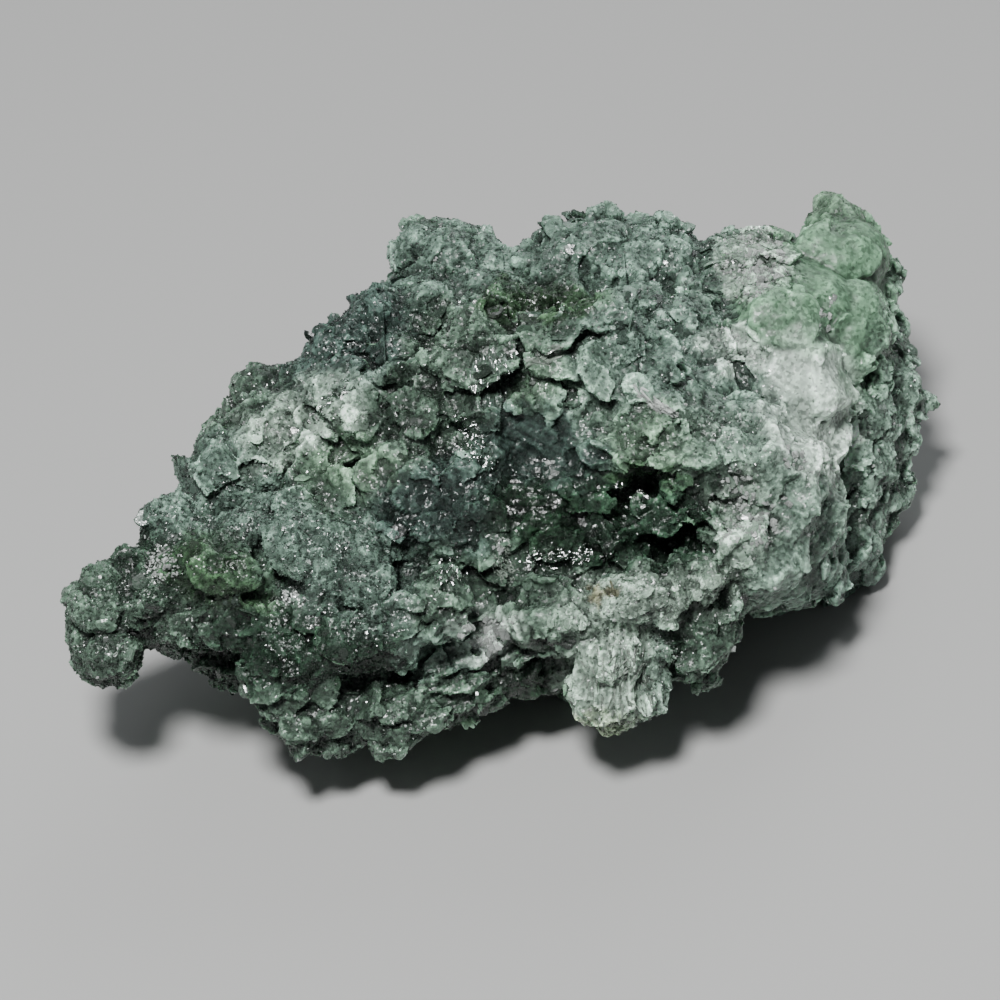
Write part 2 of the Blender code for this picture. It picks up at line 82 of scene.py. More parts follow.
# places on the show side: (right, up) and half sizes in mm, turn, colour, then how rough the skin is and
# how much sugar, broken chunks and white crystals stand there
places = {
    "knob": ((-33.9, -10.4), (4.4, 6.1), 0, "grey", 0.8, 1.0, 0.4, 0.05),
    "neck": ((-31.3, -5.2), (3.5, 2.6), 30, "dark", 1.0, 0.5, 1.0, 0.30),
    "armTop": ((-27.0, 0.0), (5.2, 2.6), 20, "ash", 0.7, 1.0, 0.3, 0.05),
    "armGreen": ((-24.4, -5.7), (4.6, 2.6), -10, "moss", 0.4, 0.4, 0.1, 0.0),
    "armCrust": ((-18.3, -2.6), (5.6, 4.0), 0, "ash", 0.6, 1.0, 0.1, 0.05),
    "shoulder": ((-12.2, -7.4), (4.4, 3.6), 0, "ash", 0.6, 1.0, 0.2, 0.05),
    "shoulderLow": ((-17.4, -13.1), (7.0, 3.0), 0, "dark", 0.9, 0.7, 0.5, 0.05),
    "lobeDark": ((-20.0, -13.9), (2.4, 3.0), 0, "dark", 0.3, 0.2, 0.1, 0.0),
    "lobe": ((-14.8, -19.1), (7.0, 3.0), 0, "grey", 0.9, 0.6, 0.6, 0.05),
    "lightPlates": ((-13.5, 2.2), (3.9, 2.6), 30, "sage", 0.5, 0.3, 0.3, 0.0),
    "middleFan": ((-5.4, -0.6), (4.6, 3.6), 0, "blue", 0.6, 0.25, 0.4, 0.0),
    "middleTop": ((-7.0, 7.4), (3.5, 3.0), 0, "grey", 0.8, 0.4, 0.6, 0.0),
    "crest": ((0.0, 12.2), (6.1, 3.0), 0, "grey", 0.9, 0.6, 0.7, 0.10),
    "crestGreen": ((3.9, 10.0), (2.6, 1.9), 0, "sage", 0.4, 0.2, 0.3, 0.0),
    "crestRight": ((8.7, 9.6), (3.9, 3.5), -30, "mist", 0.8, 0.5, 0.5, 0.10),
    "darkHollow": ((4.2, 4.8), (4.6, 3.0), -20, "blue", 0.2, 0.02, 0.1, 0.0),
    "heartDark": ((5.2, -0.9), (6.5, 3.0), 0, "deep", 0.2, 0.02, 0.05, 0.0),
    "brow": ((13.5, 5.7), (5.2, 2.4), -12, "sage", 0.35, 0.3, 0.2, 0.05),
    "browRight": ((19.1, 6.1), (3.9, 3.0), 0, "mist", 0.4, 0.5, 0.3, 0.20),
    # the next place's darker colour is painted shade in the hollow under the brow
    "blackGap": ((12.2, 2.2), (3.5, 0.9), -6, "moss", 0.5, 0.0, 0.2, 0.0),
    "darkSpeckled": ((13.1, -2.2), (5.7, 3.9), 0, "dark", 1.0, 0.4, 1.0, 0.05),
    "heartLow": ((1.7, -8.7), (4.8, 4.0), 0, "grey", 0.7, 0.1, 0.6, 0.05),
    "whiteBlock": ((-1.3, -11.7), (2.4, 1.7), 20, "milk", 0.8, 0.0, 0.8, 1.0),
    "lowMiddle": ((-4.4, -8.7), (3.0, 4.4), 0, "grey", 0.8, 0.15, 0.6, 0.10),
    "greenBlock": ((-4.4, -13.1), (3.5, 2.2), 0, "ash", 0.4, 0.1, 0.2, 0.0),
    "shelf": ((12.2, -8.7), (6.5, 2.4), 5, "pale", 0.9, 1.0, 0.5, 0.20),
    "stain": ((9.0, -8.9), (0.6, 0.9), 0, "ochre", 0.9, 0.6, 0.2, 0.0),
    "tooth": ((10.0, -15.6), (3.4, 5.0), 0, "pale", 0.2, 0.35, 0.15, 0.10),
    "toothFoot": ((8.5, -19.8), (3.0, 1.2), 0, "straw", 0.8, 1.0, 0.4, 0.0),
    "toothRight": ((13.5, -14.8), (1.4, 3.5), 0, "mist", 0.3, 0.5, 0.2, 0.0),
    "darkBlock": ((17.4, -10.4), (1.9, 2.2), 0, "dark", 0.8, 0.1, 0.6, 0.0),
    "underLedge": ((18.7, -13.1), (4.4, 2.2), 30, "grey", 0.7, 0.3, 0.3, 0.10),
    "rightMass": ((25.2, -2.6), (3.9, 7.0), 0, "mist", 0.2, 0.05, 0.05, 0.10),
    "rightPale": ((21.3, -1.7), (2.4, 3.9), 0, "pale", 0.7, 0.5, 0.4, 0.40),
    "rightWhiteLow": ((21.9, -1.9), (2.4, 2.8), 0, "pale", 0.6, 0.4, 0.4, 0.6),
    "streaks": ((20.0, 10.0), (6.1, 2.2), -25, "ash", 0.25, 0.1, 0.1, 0.05),
    "saddle": ((13.5, 13.5), (6.1, 3.5), 0, "ash", 0.9, 0.5, 0.7, 0.15),
    "whiteSlope": ((27.1, 8.6), (3.6, 5.0), 10, "milk", 0.11, 0.02, 0.02, 0.05),
    "whiteSlopeLow": ((28.4, 5.0), (1.5, 3.4), -10, "milk", 0.3, 0.05, 0.1, 0.2),
    "paleTop": ((22.2, 20.4), (3.0, 2.2), 0, "pale", 0.8, 0.4, 0.5, 0.50),
    "palePatch": ((20.4, 13.1), (2.6, 1.7), 0, "milk", 0.7, 0.3, 0.4, 0.4),
    "greenFront": ((24.8, 15.8), (3.6, 3.0), 0, "dome", 0.1, 0.0, 0.0, 0.0),
    "greenDome": ((30.0, 21.8), (4.2, 3.2), 0, "dome", 0.08, 0.0, 0.0, 0.0),
    "greenSide": ((31.8, 14.8), (2.6, 5.4), 0, "dome", 0.08, 0.0, 0.0, 0.0),
    "greenTip": ((29.4, 25.1), (2.4, 1.6), 0, "sage", 0.3, 0.1, 0.1, 0.0),
    "farRight": ((34.4, 6.1), (2.6, 10.4), 0, "mist", 0.7, 0.3, 0.4, 0.15),
    "farRightLow": ((30.0, -7.0), (3.9, 2.2), 20, "ash", 0.5, 0.1, 0.3, 0.0),
    "backTop": ((8.7, 21.8), (9.6, 3.0), 0, "ash", 0.9, 0.5, 0.6, 0.10),
    "backLumpHigh": ((-4.4, 21.3), (4.8, 2.6), 0, "ash", 0.6, 0.4, 0.5, 0.05),
    "backLeft": ((-14.8, 13.1), (6.1, 3.9), 40, "blue", 0.8, 0.5, 0.6, 0.10),
    "backLeftPale": ((-17.4, 7.0), (5.4, 2.4), 35, "pale", 0.8, 0.5, 0.6, 0.20),
    "backLump": ((-20.9, 10.0), (2.6, 2.2), 0, "grey", 0.6, 0.3, 0.3, 0.0),
    "backLowLeft": ((-24.4, 2.6), (4.4, 2.2), 30, "ash", 0.8, 0.5, 0.5, 0.05),
    # the next place's darker colour is painted shade where the stone drops away behind the crest
    "behindCrest": ((3.9, 17.4), (3.9, 1.7), 0, "moss", 0.8, 0.2, 0.5, 0.0),
    "shingles": ((-4.4, -18.7), (6.1, 3.0), 30, "grey", 0.8, 0.4, 0.7, 0.10),
    # the next place's deep colour is painted shade on the underside at the front's lower edge
    "underMiddle": ((0.0, -16.5), (4.4, 1.7), 0, "deep", 0.8, 0.1, 0.5, 0.0),
}

# the key light stands to the front and the left of straight above, in degrees; the glints are turned to mirror it
lightLook = {
    "keyTilt": 25, "keyLean": -8, "keyDistance": 0.55, "keySize": 0.11, "keyPower": 6.0,
    "fillWay": (-0.8, -0.5, 0.8), "fillPower": 0.5, "backWay": (0.5, 1, 0.8), "backPower": 3.0,
    "softDistance": 0.9, "softSize": 0.7, "softColour": (0.95, 0.98, 1),
    "sky": 0.14, "skyColour": (0.92, 0.96, 1), "aim": (0, 0, 0.018),
}
floorGap = {"points": 0.02, "crystals": 0.5}  # mm above the table, of every point and of the lowest crystals

rng = np.random.RandomState(11)  # every random draw below comes from here


def viewAxes():
    e, r = math.radians(showView["elevation"]), math.radians(showView["roll"])
    across, rise = np.array((1, 0, 0)), np.array((0, math.sin(e), math.cos(e)))
    right = across * math.cos(r) - rise * math.sin(r)
    up = across * math.sin(r) + rise * math.cos(r)
    return np.array((right, up, (0, -math.cos(e), math.sin(e))))  # rows: right, up, out


axes = viewAxes()
middle = np.array(showView["middle"])


def toView(points):  # world mm to (right, up, out) as the camera's perspective sees them on the middle's plane
    local = (points - middle) @ axes.T
    local[:, :2] /= (1 - local[:, 2:] / showView["distance"])
    return local


def fromView(right, up, out):
    squeeze = 1 - out / showView["distance"]
    return middle + np.array((right * squeeze, up * squeeze, out)) @ axes


def noiseAt(points, size, shift=0.0):
    return np.array([noise.noise((x / size + shift, y / size, z / size)) for x, y, z in points])


def fractalAt(points, size, octaves=3, shift=0.0):
    return np.array([noise.fractal((x / size + shift, y / size, z / size), 0.8, 2.1, octaves) for x, y, z in points])


def smoothStep(low, high, values):
    t = np.clip((values - low) / (high - low), 0, 1)
    return t * t * (3 - 2 * t)


# how far and at what sizes the borders of the places wander, in mm, and the stone between the places
fieldLook = {
    "wander": 1.5, "wanderSizes": (2.2, 0.9), "between": 0.03, "colour": "grey", "levels": (0.9, 0.6, 0.6, 0.1),
}
# how the stone looks where the show view doesn't see it
farSide = {
    "colours": ("dark", "ash", "mist"), "patch": 7.0, "fringe": 2.6, "calmSize": 10.0,
    "broken": (0.95, 0.55, 0.7, 0.12), "smooth": (0.14, 0.05, 0.1, 0.0), "smoothColour": "dome",
}


def ellipseReach(spot, at, size, turn):  # squared distance from the middle of a turned ellipse, 1 on its edge
    a = math.radians(turn)
    off = spot - np.array(at)
    along = (off[:, 0] * math.cos(a) + off[:, 1] * math.sin(a)) / size[0]
    over = (-off[:, 0] * math.sin(a) + off[:, 1] * math.cos(a)) / size[1]
    return along ** 2 + over ** 2


def nearness(spot, at, size, turn):  # 1 in the middle of an ellipse in the show view, soft at its edge
    return np.exp(-ellipseReach(spot, at, size, turn) ** 2 * 0.8)


def mixed(one, two, share):
    return one * (1 - share) + two * share


def stoneFields(points, normals):  # points in mm; colour, rough, sugar, chunks and white at each
    broad, fine = fieldLook["wanderSizes"]
    warp = np.stack([noiseAt(points, broad, 40.0 * k) + 0.5 * noiseAt(points, fine, 70.0 * k) for k in (1, 2)], 1)
    spot = toView(points)[:, :2] + warp * fieldLook["wander"]
    total = np.full(len(points), fieldLook["between"])
    colour = np.outer(total, palette[fieldLook["colour"]])
    amounts = np.outer(total, fieldLook["levels"])
    for at, size, turn, name, *levels in places.values():
        weight = nearness(spot, at, size, turn)
        total += weight
        colour += weight[:, None] * np.array(palette[name])
        amounts += weight[:, None] * np.array(levels)
    colour /= total[:, None]
    amounts /= total[:, None]
    # the far sides: patches of the same colours
    patch = noiseAt(points, farSide["patch"], 9.0) + 0.5 * noiseAt(points, farSide["fringe"], 5.0)
    patch = smoothStep(-0.35, 0.4, patch)[:, None]
    dark, mid, light = [np.array(palette[name]) for name in farSide["colours"]]
    farColour = np.where(patch < 0.5, dark + (mid - dark) * patch * 2, mid + (light - mid) * (patch * 2 - 1))
    smooth = noiseAt(points, farSide["calmSize"], 33.0) + 0.15 * noiseAt(points, 1.5, 12.0)
    smooth = smoothStep(0.1, 0.3, smooth)[:, None]
    farLevels = mixed(np.array(farSide["broken"]), np.array(farSide["smooth"]), smooth)
    farColour = mixed(farColour, np.array(palette[farSide["smoothColour"]]), smooth)
    seen = smoothStep(-0.45, 0.05, normals @ axes[2])[:, None]
    return mixed(farColour, colour, seen), mixed(farLevels, amounts, seen)


def bakeModifiers(piece):
    graph = bpy.context.evaluated_depsgraph_get()
    mesh = bpy.data.meshes.new_from_object(piece.evaluated_get(graph))
    piece.modifiers.clear()
    piece.data = mesh


def readMesh(mesh):  # places in mm and outward directions of the points
    count = len(mesh.vertices)
    co, no = np.empty(count * 3), np.empty(count * 3)
    mesh.vertices.foreach_get("co", co)
    mesh.vertex_normals.foreach_get("vector", no)
    return co.reshape(-1, 3) / mm, no.reshape(-1, 3)


def writePlaces(mesh, points):
    mesh.vertices.foreach_set("co", (points * mm).ravel())
    mesh.update()


def paint(mesh, colours, texture=1.0):  # one linear colour on each point, and how much of the fine texture it has
    layer = mesh.color_attributes.new("tint", "FLOAT_COLOR", "POINT")
    rgba = np.ones((len(colours), 4))
    rgba[:, :3] = colours
    rgba[:, 3] = texture
    layer.data.foreach_set("color", rgba.ravel())


def addPiece(name, mesh, material):
    piece = bpy.data.objects.new(name, mesh)
    bpy.context.scene.collection.objects.link(piece)
    mesh.materials.clear()
    mesh.materials.append(material)
    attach(piece, "root")
    return piece


# materials

def newGroup(name, inputs, outputs):
    group = bpy.data.node_groups.new(name, "ShaderNodeTree")
    for label, kind, value in inputs:
        socket = group.interface.new_socket(name=label, in_out="INPUT", socket_type=kind)
        socket.default_value = value
    for label, kind in outputs:
        group.interface.new_socket(name=label, in_out="OUTPUT", socket_type=kind)
    return group, group.nodes.new("NodeGroupInput"), group.nodes.new("NodeGroupOutput")


def vectorMath(tree, operation, *sources):
    node = tree.nodes.new("ShaderNodeVectorMath")
    node.operation = operation
    sockets = (node.inputs[0], node.inputs["Scale" if operation == "SCALE" else 1])
    for source, socket in zip(sources, sockets):
        tree.links.new(source, socket)
    return node


def makeFacetGroup():  # tiny flat breaks: every cell of the pattern leans its own way
    group, start, end = newGroup(
        "facets", [("Scale", "NodeSocketFloat", 2000.0)], [("Height", "NodeSocketFloat"), ("Cell", "NodeSocketColor")]
    )
    scale = start.outputs["Scale"]
    coords = group.nodes.new("ShaderNodeTexCoord").outputs["Object"]
    cells = group.nodes.new("ShaderNodeTexVoronoi")
    group.links.new(coords, cells.inputs["Vector"])
    group.links.new(scale, cells.inputs["Scale"])
    ends = [vectorMath(group, "SCALE", spot, scale).outputs[0] for spot in (coords, cells.outputs["Position"])]
    offset = vectorMath(group, "SUBTRACT", *ends)
    lean = vectorMath(group, "SUBTRACT", cells.outputs["Color"])
    lean.inputs[1].default_value = (0.5, 0.5, 0.5)
    slope = vectorMath(group, "DOT_PRODUCT", offset.outputs[0], lean.outputs[0])
    group.links.new(slope.outputs["Value"], end.inputs["Height"])
    group.links.new(cells.outputs["Color"], end.inputs["Cell"])
    return group


facetGroup = makeFacetGroup()
stoneLook = {
    "ior": 1.56, "glow": (0.7, 1.0, 0.7), "glowDepth": 0.0012,
    "waxy": 0.3, "waxyTo": 0.6,  # how much rougher the smoothest skin is, and the texture where that ends
    "fineScale": 2.7, "fineHeight": 0.2,  # the finer facets against the others
}
# roughness of the facets from and to, facets in a metre, their height in metres, glow from inside, how much the
# facets differ in colour, how clear, gleam
finishes = {
    "brokenPrehnite": ((0.12, 0.40), 3600, 0.00015, 0.35, 0.45, 0.0, 0.32),
    "prehniteFlakes": ((0.14, 0.40), 3000, 0.00006, 0.10, 0.25, 0.5, 0.50),
    "glassyPrehnite": ((0.04, 0.16), 3200, 0.00001, 0.20, 0.20, 0.0, 0.50),
    "prehniteCrystals": ((0.10, 0.45), 3200, 0.00003, 0.10, 0.20, 0.4, 0.50),
}


def stretched(tree, source, low, high):  # a value between 0 and 1 put between low and high
    node = tree.nodes.new("ShaderNodeMapRange")
    tree.links.new(source, node.inputs["Value"])
    node.inputs["To Min"].default_value = low
    node.inputs["To Max"].default_value = high
    return node


def addFacets(tree, scale, height, amount):  # the facets and their bump, as strong as the amount says
    facets = tree.nodes.new("ShaderNodeGroup")
    facets.node_tree = facetGroup
    facets.inputs["Scale"].default_value = scale
    bump = tree.nodes.new("ShaderNodeBump")
    bump.inputs["Distance"].default_value = height
    tree.links.new(amount, bump.inputs["Strength"])
    tree.links.new(facets.outputs["Height"], bump.inputs["Height"])
    return facets, bump


def makeStoneMaterial(name, rough, facetScale, facetHeight, glow, contrast, clear, gleam):
    material = bpy.data.materials.new(name)
    material.use_nodes = True
    tree = material.node_tree
    nodes, links = tree.nodes, tree.links
    shader = nodes["Principled BSDF"]
    tint = nodes.new("ShaderNodeAttribute")
    tint.attribute_name = "tint"
    texture = tint.outputs["Alpha"]
    facets, bump = addFacets(tree, facetScale, facetHeight, texture)
    fineScale, fineHeight = facetScale * stoneLook["fineScale"], facetHeight * stoneLook["fineHeight"]
    fineBump = addFacets(tree, fineScale, fineHeight, texture)[1]
    links.new(bump.outputs["Normal"], fineBump.inputs["Normal"])
    links.new(fineBump.outputs["Normal"], shader.inputs["Normal"])
    cellValue = nodes.new("ShaderNodeSeparateColor")
    links.new(facets.outputs["Cell"], cellValue.inputs[0])
    # every cell is a little lighter or darker
    shade = stretched(tree, cellValue.outputs[0], 1 - contrast, 1 + contrast)
    colour = vectorMath(tree, "SCALE", tint.outputs["Color"], shade.outputs[0])
    links.new(colour.outputs[0], shader.inputs["Base Color"])
    # smooth skin has a waxy shine
    gloss = stretched(tree, cellValue.outputs[1], *rough)
    waxy = stretched(tree, texture, stoneLook["waxy"], 0)
    waxy.inputs["From Max"].default_value = stoneLook["waxyTo"]
    shine = nodes.new("ShaderNodeMath")
    links.new(gloss.outputs[0], shine.inputs[0])
    links.new(waxy.outputs[0], shine.inputs[1])
    links.new(shine.outputs[0], shader.inputs["Roughness"])
    shader.inputs["IOR"].default_value = stoneLook["ior"]
    shader.inputs["Specular IOR Level"].default_value = gleam
    shader.inputs["Transmission Weight"].default_value = clear
    shader.inputs["Subsurface Weight"].default_value = glow
    shader.inputs["Subsurface Radius"].default_value = stoneLook["glow"]
    shader.inputs["Subsurface Scale"].default_value = stoneLook["glowDepth"]
    return material


skinMaterial, flakeMaterial, glintMaterial, crystalMaterial = [
    makeStoneMaterial(name, *finish) for name, finish in finishes.items()
]
print("materials:", *finishes)


# plates and lumps that grow out of the stone; they are melted together with it

# (right, up) in the show view and half sizes in mm, turn, lean to the right and up in degrees, thickness, tone
plates = {
    "crestLeft": ((-1.9, 12.0), (3.7, 3.0), 15, (-10, 25), 0.7, 1.2),
    "crestRight": ((4.8, 12.6), (3.9, 2.8), -10, (15, 20), 0.7, 1.2),
    "crestBetween": ((2.6, 14.8), (1.0, 0.9), 0, (0, 20), 0.5, 0.9),
    "crestEnd": ((8.9, 11.0), (3.0, 2.6), -40, (20, 15), 0.7, 1.1),
    "upperLeft": ((-7.4, 7.7), (2.4, 2.6), 0, (-15, 20), 0.6, 0.75),
    "upperLeftRim": ((-5.9, 9.4), (2.2, 1.4), -35, (0, 25), 0.5, 1.1),
    "glassPlate": ((-5.4, 4.3), (2.8, 1.9), 0, (0, 10), 0.5, 0.75),
    "smallPale": ((-9.2, 4.3), (1.3, 1.1), 0, (-10, 15), 0.5, 1.3),
    "leftPlate": ((-13.9, 3.9), (2.8, 1.8), 30, (-10, 30), 0.7, 1.3),
    "leftPlateHigh": ((-11.7, 6.0), (1.5, 1.1), 20, (-10, 30), 0.5, 1.5),
    "fanLeft": ((-14.4, 0.9), (2.2, 2.6), 10, (-25, 0), 0.6, 1.1),
    "fanOne": ((-12.2, -0.3), (2.9, 3.0), 0, (-15, -8), 0.6, 1.0),
    "fanTwo": ((-8.0, 0.0), (3.0, 3.6), 0, (-5, -12), 0.6, 1.1),
    "fanThree": ((-4.3, 0.0), (2.6, 3.8), 0, (6, -12), 0.6, 0.8),
    "fanFour": ((-1.2, -1.7), (2.2, 2.2), 0, (10, -15), 0.5, 0.8),
    "fanHigh": ((-10.9, 2.3), (2.4, 2.0), 20, (-10, 5), 0.5, 1.2),
    "fanHighRight": ((-7.0, 2.1), (2.3, 1.8), 0, (0, 5), 0.5, 0.9),
    "browPlate": ((11.7, 3.9), (4.2, 1.8), -10, (5, 35), 0.8, 1.2),
    "browStart": ((8.7, 3.9), (2.0, 1.5), 20, (-5, 30), 0.6, 1.0),
    "browEnd": ((15.8, 4.3), (2.8, 1.8), -20, (10, 25), 0.7, 1.1),
    "bowlRim": ((8.0, -1.0), (1.9, 1.0), 40, (-20, -10), 0.4, 1.4),
    "lobeOne": ((-20.7, -16.5), (1.8, 1.6), 0, (-15, -10), 0.5, 1.1),
    "lobeTwo": ((-18.3, -17.4), (2.0, 1.5), 20, (-5, -15), 0.5, 0.9),
    "lobeThree": ((-15.8, -16.5), (1.9, 1.8), 0, (0, -12), 0.5, 1.2),
    "lobeFour": ((-13.4, -17.9), (2.0, 1.6), -20, (5, -15), 0.5, 1.0),
    "lobeFive": ((-19.6, -19.3), (1.8, 1.3), 0, (-10, -20), 0.5, 1.1),
    "lobeSix": ((-17.0, -20.1), (2.2, 1.5), 10, (0, -20), 0.5, 0.9),
    "lobeSeven": ((-14.3, -19.6), (1.9, 1.4), 0, (5, -20), 0.5, 1.1),
    "lobeEight": ((-11.7, -18.4), (2.0, 1.3), 20, (5, -15), 0.5, 1.0),
    "armLowOne": ((-27.0, -10.9), (2.2, 1.5), -10, (-5, -10), 0.5, 1.0),
    "armLowTwo": ((-23.9, -11.7), (2.3, 1.4), 0, (0, -15), 0.5, 1.2),
    "armLowThree": ((-21.8, -10.4), (1.8, 1.6), 0, (0, -10), 0.5, 0.9),
    "armTopLump": ((-25.7, -1.7), (2.6, 2.0), 20, (-15, 20), 1.2, 1.1),
    "armGreenLump": ((-23.9, -6.4), (3.2, 2.2), -10, (0, 5), 1.4, 0.9),
    "crustLump": ((-17.6, -3.7), (3.2, 3.4), 0, (0, 10), 1.5, 1.0),
    "crustLumpLow": ((-16.4, -9.7), (2.4, 2.0), 0, (0, 0), 1.1, 0.75),
    "sugarLump": ((-11.7, -7.1), (2.7, 2.3), 0, (0, 10), 1.2, 0.95),
    "sugarLumpLow": ((-13.0, -12.2), (3.0, 2.4), 0, (0, 5), 1.2, 0.75),
    "sugarLumpRight": ((-8.5, -10.3), (2.0, 2.4), 0, (5, 0), 1.0, 0.8),
    "shingleOne": ((-4.3, -14.3), (3.0, 0.9), 20, (0, 30), 0.5, 0.8),
    "shingleTwo": ((-5.9, -16.4), (3.2, 0.9), 25, (0, 30), 0.5, 0.6),
    "shingleThree": ((-2.8, -16.0), (2.4, 0.8), 15, (0, 25), 0.5, 0.85),
    "shingleFour": ((-3.9, -17.9), (2.8, 0.8), 25, (0, 25), 0.5, 0.65),
    "shingleFive": ((-6.1, -19.3), (2.6, 0.8), 30, (0, 25), 0.5, 0.8),
    "ledgePlate": ((17.6, -13.5), (3.0, 1.3), 35, (0, 25), 0.6, 1.0),
    "ledgePlateLow": ((15.7, -15.0), (2.2, 1.0), 20, (0, 20), 0.5, 1.1),
    "darkPlate": ((13.5, -1.3), (2.6, 1.7), -20, (5, 10), 0.5, 1.2),
    "darkPlateLow": ((16.5, -3.9), (2.0, 1.6), 20, (5, 5), 0.5, 1.0),
    "domeHigh": ((29.4, 21.6), (4.1, 3.0), -5, (10, 20), 1.9, 1.0),
    "domeSide": ((30.8, 14.9), (3.2, 4.8), -6, (18, 5), 1.7, 1.0),
    "domeFront": ((24.8, 15.8), (3.5, 2.9), 0, (5, 15), 1.3, 0.9),
    "toothRoot": ((9.6, -13.2), (3.2, 3.0), 0, (0, -8), 2.4, 1.0),
    "toothSlab": ((9.2, -16.2), (3.1, 3.9), 0, (-5, -5), 1.0, 1.0),
    "toothBlade": ((13.5, -15.2), (1.3, 3.4), 8, (25, -5), 1.2, 0.8),
    "backLumpOne": ((-4.6, 21.2), (3.2, 2.7), 10, (0, 30), 2.0, 0.9),
    "backLumpTwo": ((-0.9, 20.2), (2.6, 2.2), -10, (10, 25), 1.7, 1.1),
    "backLumpThree": ((7.7, 21.9), (3.6, 2.6), 0, (0, 30), 2.0, 0.9),
    "backLumpFour": ((11.1, 20.4), (2.7, 2.3), 20, (5, 25), 1.7, 1.2),
    "backLumpFive": ((14.6, 20.7), (2.8, 2.4), 0, (10, 25), 1.7, 0.9),
    "backLumpSix": ((16.8, 18.1), (2.3, 2.1), 0, (10, 20), 1.5, 1.3),
    "backLumpSeven": ((4.5, 19.8), (2.2, 1.9), 0, (-5, 25), 1.5, 1.0),
    "backLumpEight": ((3.5, 17.4), (2.4, 1.6), 10, (0, 20), 1.3, 0.8),
    "sideLumpOne": ((-21.2, 9.7), (2.3, 2.3), 0, (-25, 20), 1.6, 0.8),
    "sideLumpTwo": ((-16.9, 10.9), (2.5, 2.0), 20, (-15, 25), 1.5, 1.1),
    "sideLumpThree": ((-14.4, 13.9), (2.6, 2.0), 25, (-10, 30), 1.5, 0.9),
    "sideLumpFour": ((-10.9, 16.4), (2.4, 2.1), 30, (-10, 30), 1.5, 1.1),
    "sideLumpFive": ((-13.5, 10.6), (2.6, 1.9), 30, (-5, 20), 1.4, 1.2),
    "sideLumpSix": ((-9.1, 12.9), (2.6, 2.0), 20, (-5, 20), 1.4, 0.9),
    "knobLump": ((-35.0, -8.7), (2.5, 3.0), 0, (-10, 10), 1.5, 1.3),
    "knobLumpLow": ((-33.8, -13.5), (2.4, 2.2), 20, (5, -10), 1.4, 0.8),
    "saddlePlate": ((13.0, 13.5), (3.0, 1.8), -25, (10, 25), 0.7, 1.0),
    "saddlePlateHigh": ((8.7, 15.8), (2.6, 1.6), 10, (0, 30), 0.7, 0.9),
}
strayPlates = {
    "count": 380, "size": (0.6, 2.1), "uneven": (0.6, 1.5), "thick": (0.35, 0.6), "lean": 0.45, "tone": (0.6, 1.4),
}
lumpFrom = 1.1  # mm, plates thicker than this are domes and lumps


def triangulated(bm):
    bmesh.ops.triangulate(bm, faces=bm.faces)
    verts = np.array([vert.co[:] for vert in bm.verts])
    bm.verts.index_update()
    faces = np.array([[vert.index for vert in face.verts] for face in bm.faces])
    bm.free()
    return verts, faces


def chipSeed(cuts, jitter):  # a cube with its corners pulled about and cut off
    bm = bmesh.new()
    bmesh.ops.create_cube(bm, size=1.4)
    for vert in bm.verts:
        vert.co += Vector(rng.uniform(-jitter, jitter, 3))
    for _ in range(cuts):
        way = Vector(rng.normal(size=3)).normalized()
        cut = bmesh.ops.bisect_plane(
            bm, geom=bm.verts[:] + bm.edges[:] + bm.faces[:],
            plane_co=way * rng.uniform(0.45, 0.75), plane_no=way, clear_outer=True
        )
        edges = [item for item in cut["geom_cut"] if isinstance(item, bmesh.types.BMEdge)]
        bmesh.ops.holes_fill(bm, edges=edges)
    bmesh.ops.recalc_face_normals(bm, faces=bm.faces)
    return triangulated(bm)


def randomTurns(count):
    quats = rng.normal(size=(count, 4))
    quats /= np.linalg.norm(quats, axis=1)[:, None]
    w, x, y, z = quats.T
    return np.stack([
        np.stack([1 - 2 * (y * y + z * z), 2 * (x * y - z * w), 2 * (x * z + y * w)], 1),
        np.stack([2 * (x * y + z * w), 1 - 2 * (x * x + z * z), 2 * (y * z - x * w)], 1),
        np.stack([2 * (x * z - y * w), 2 * (y * z + x * w), 1 - 2 * (x * x + y * y)], 1),
    ], 1)


plateWarp = {"size": 1.9, "reach": 0.4}  # mm, how the plates' shapes are bent


def plateSeed(broken):  # a plate with a broken edge, or a dome
    bm = bmesh.new()
    if not broken:
        bmesh.ops.create_icosphere(bm, subdivisions=3, radius=1)
        return triangulated(bm)
    shift = rng.uniform(0, 50)
    bmesh.ops.create_cone(bm, cap_ends=True, segments=rng.randint(7, 12), radius1=0.8, radius2=1, depth=2)
    for vert in bm.verts:
        turn = math.atan2(vert.co.y, vert.co.x)
        reach = 1.1 - 0.55 * abs(noise.noise((math.cos(turn) * 1.6 + shift, math.sin(turn) * 1.6, 0)))
        vert.co += Vector(rng.uniform(-0.14, 0.14, 3))
        vert.co.xy *= reach
    bmesh.ops.bevel(bm, geom=bm.edges[:], offset=0.08, segments=1, profile=0.5, affect="EDGES", material=-1)
    return triangulated(bm)


def spread(mesh, weights, count):  # random places on a mesh, more of them where the weights of its points are high
    mesh.calc_loop_triangles()
    corners = np.empty(len(mesh.loop_triangles) * 3, dtype=np.int32)
    mesh.loop_triangles.foreach_get("vertices", corners)
    corners = corners.reshape(-1, 3)
    points, normals = readMesh(mesh)
    ends = points[corners]
    area = np.linalg.norm(np.cross(ends[:, 1] - ends[:, 0], ends[:, 2] - ends[:, 0]), axis=1)
    chance = area * weights[corners].mean(1) * (ends[:, :, 2].min(1) > floorGap["crystals"])
    picks = rng.choice(len(area), size=count, p=chance / chance.sum())
    a, b = np.sqrt(rng.uniform(size=(count, 1))), rng.uniform(size=(count, 1))
    spots = ends[picks, 0] * (1 - a) + ends[picks, 1] * a * (1 - b) + ends[picks, 2] * a * b
    return spots, normals[corners[picks, 0]], corners[picks, 0]


def unit(vectors):
    return vectors / np.linalg.norm(vectors, axis=-1, keepdims=True)


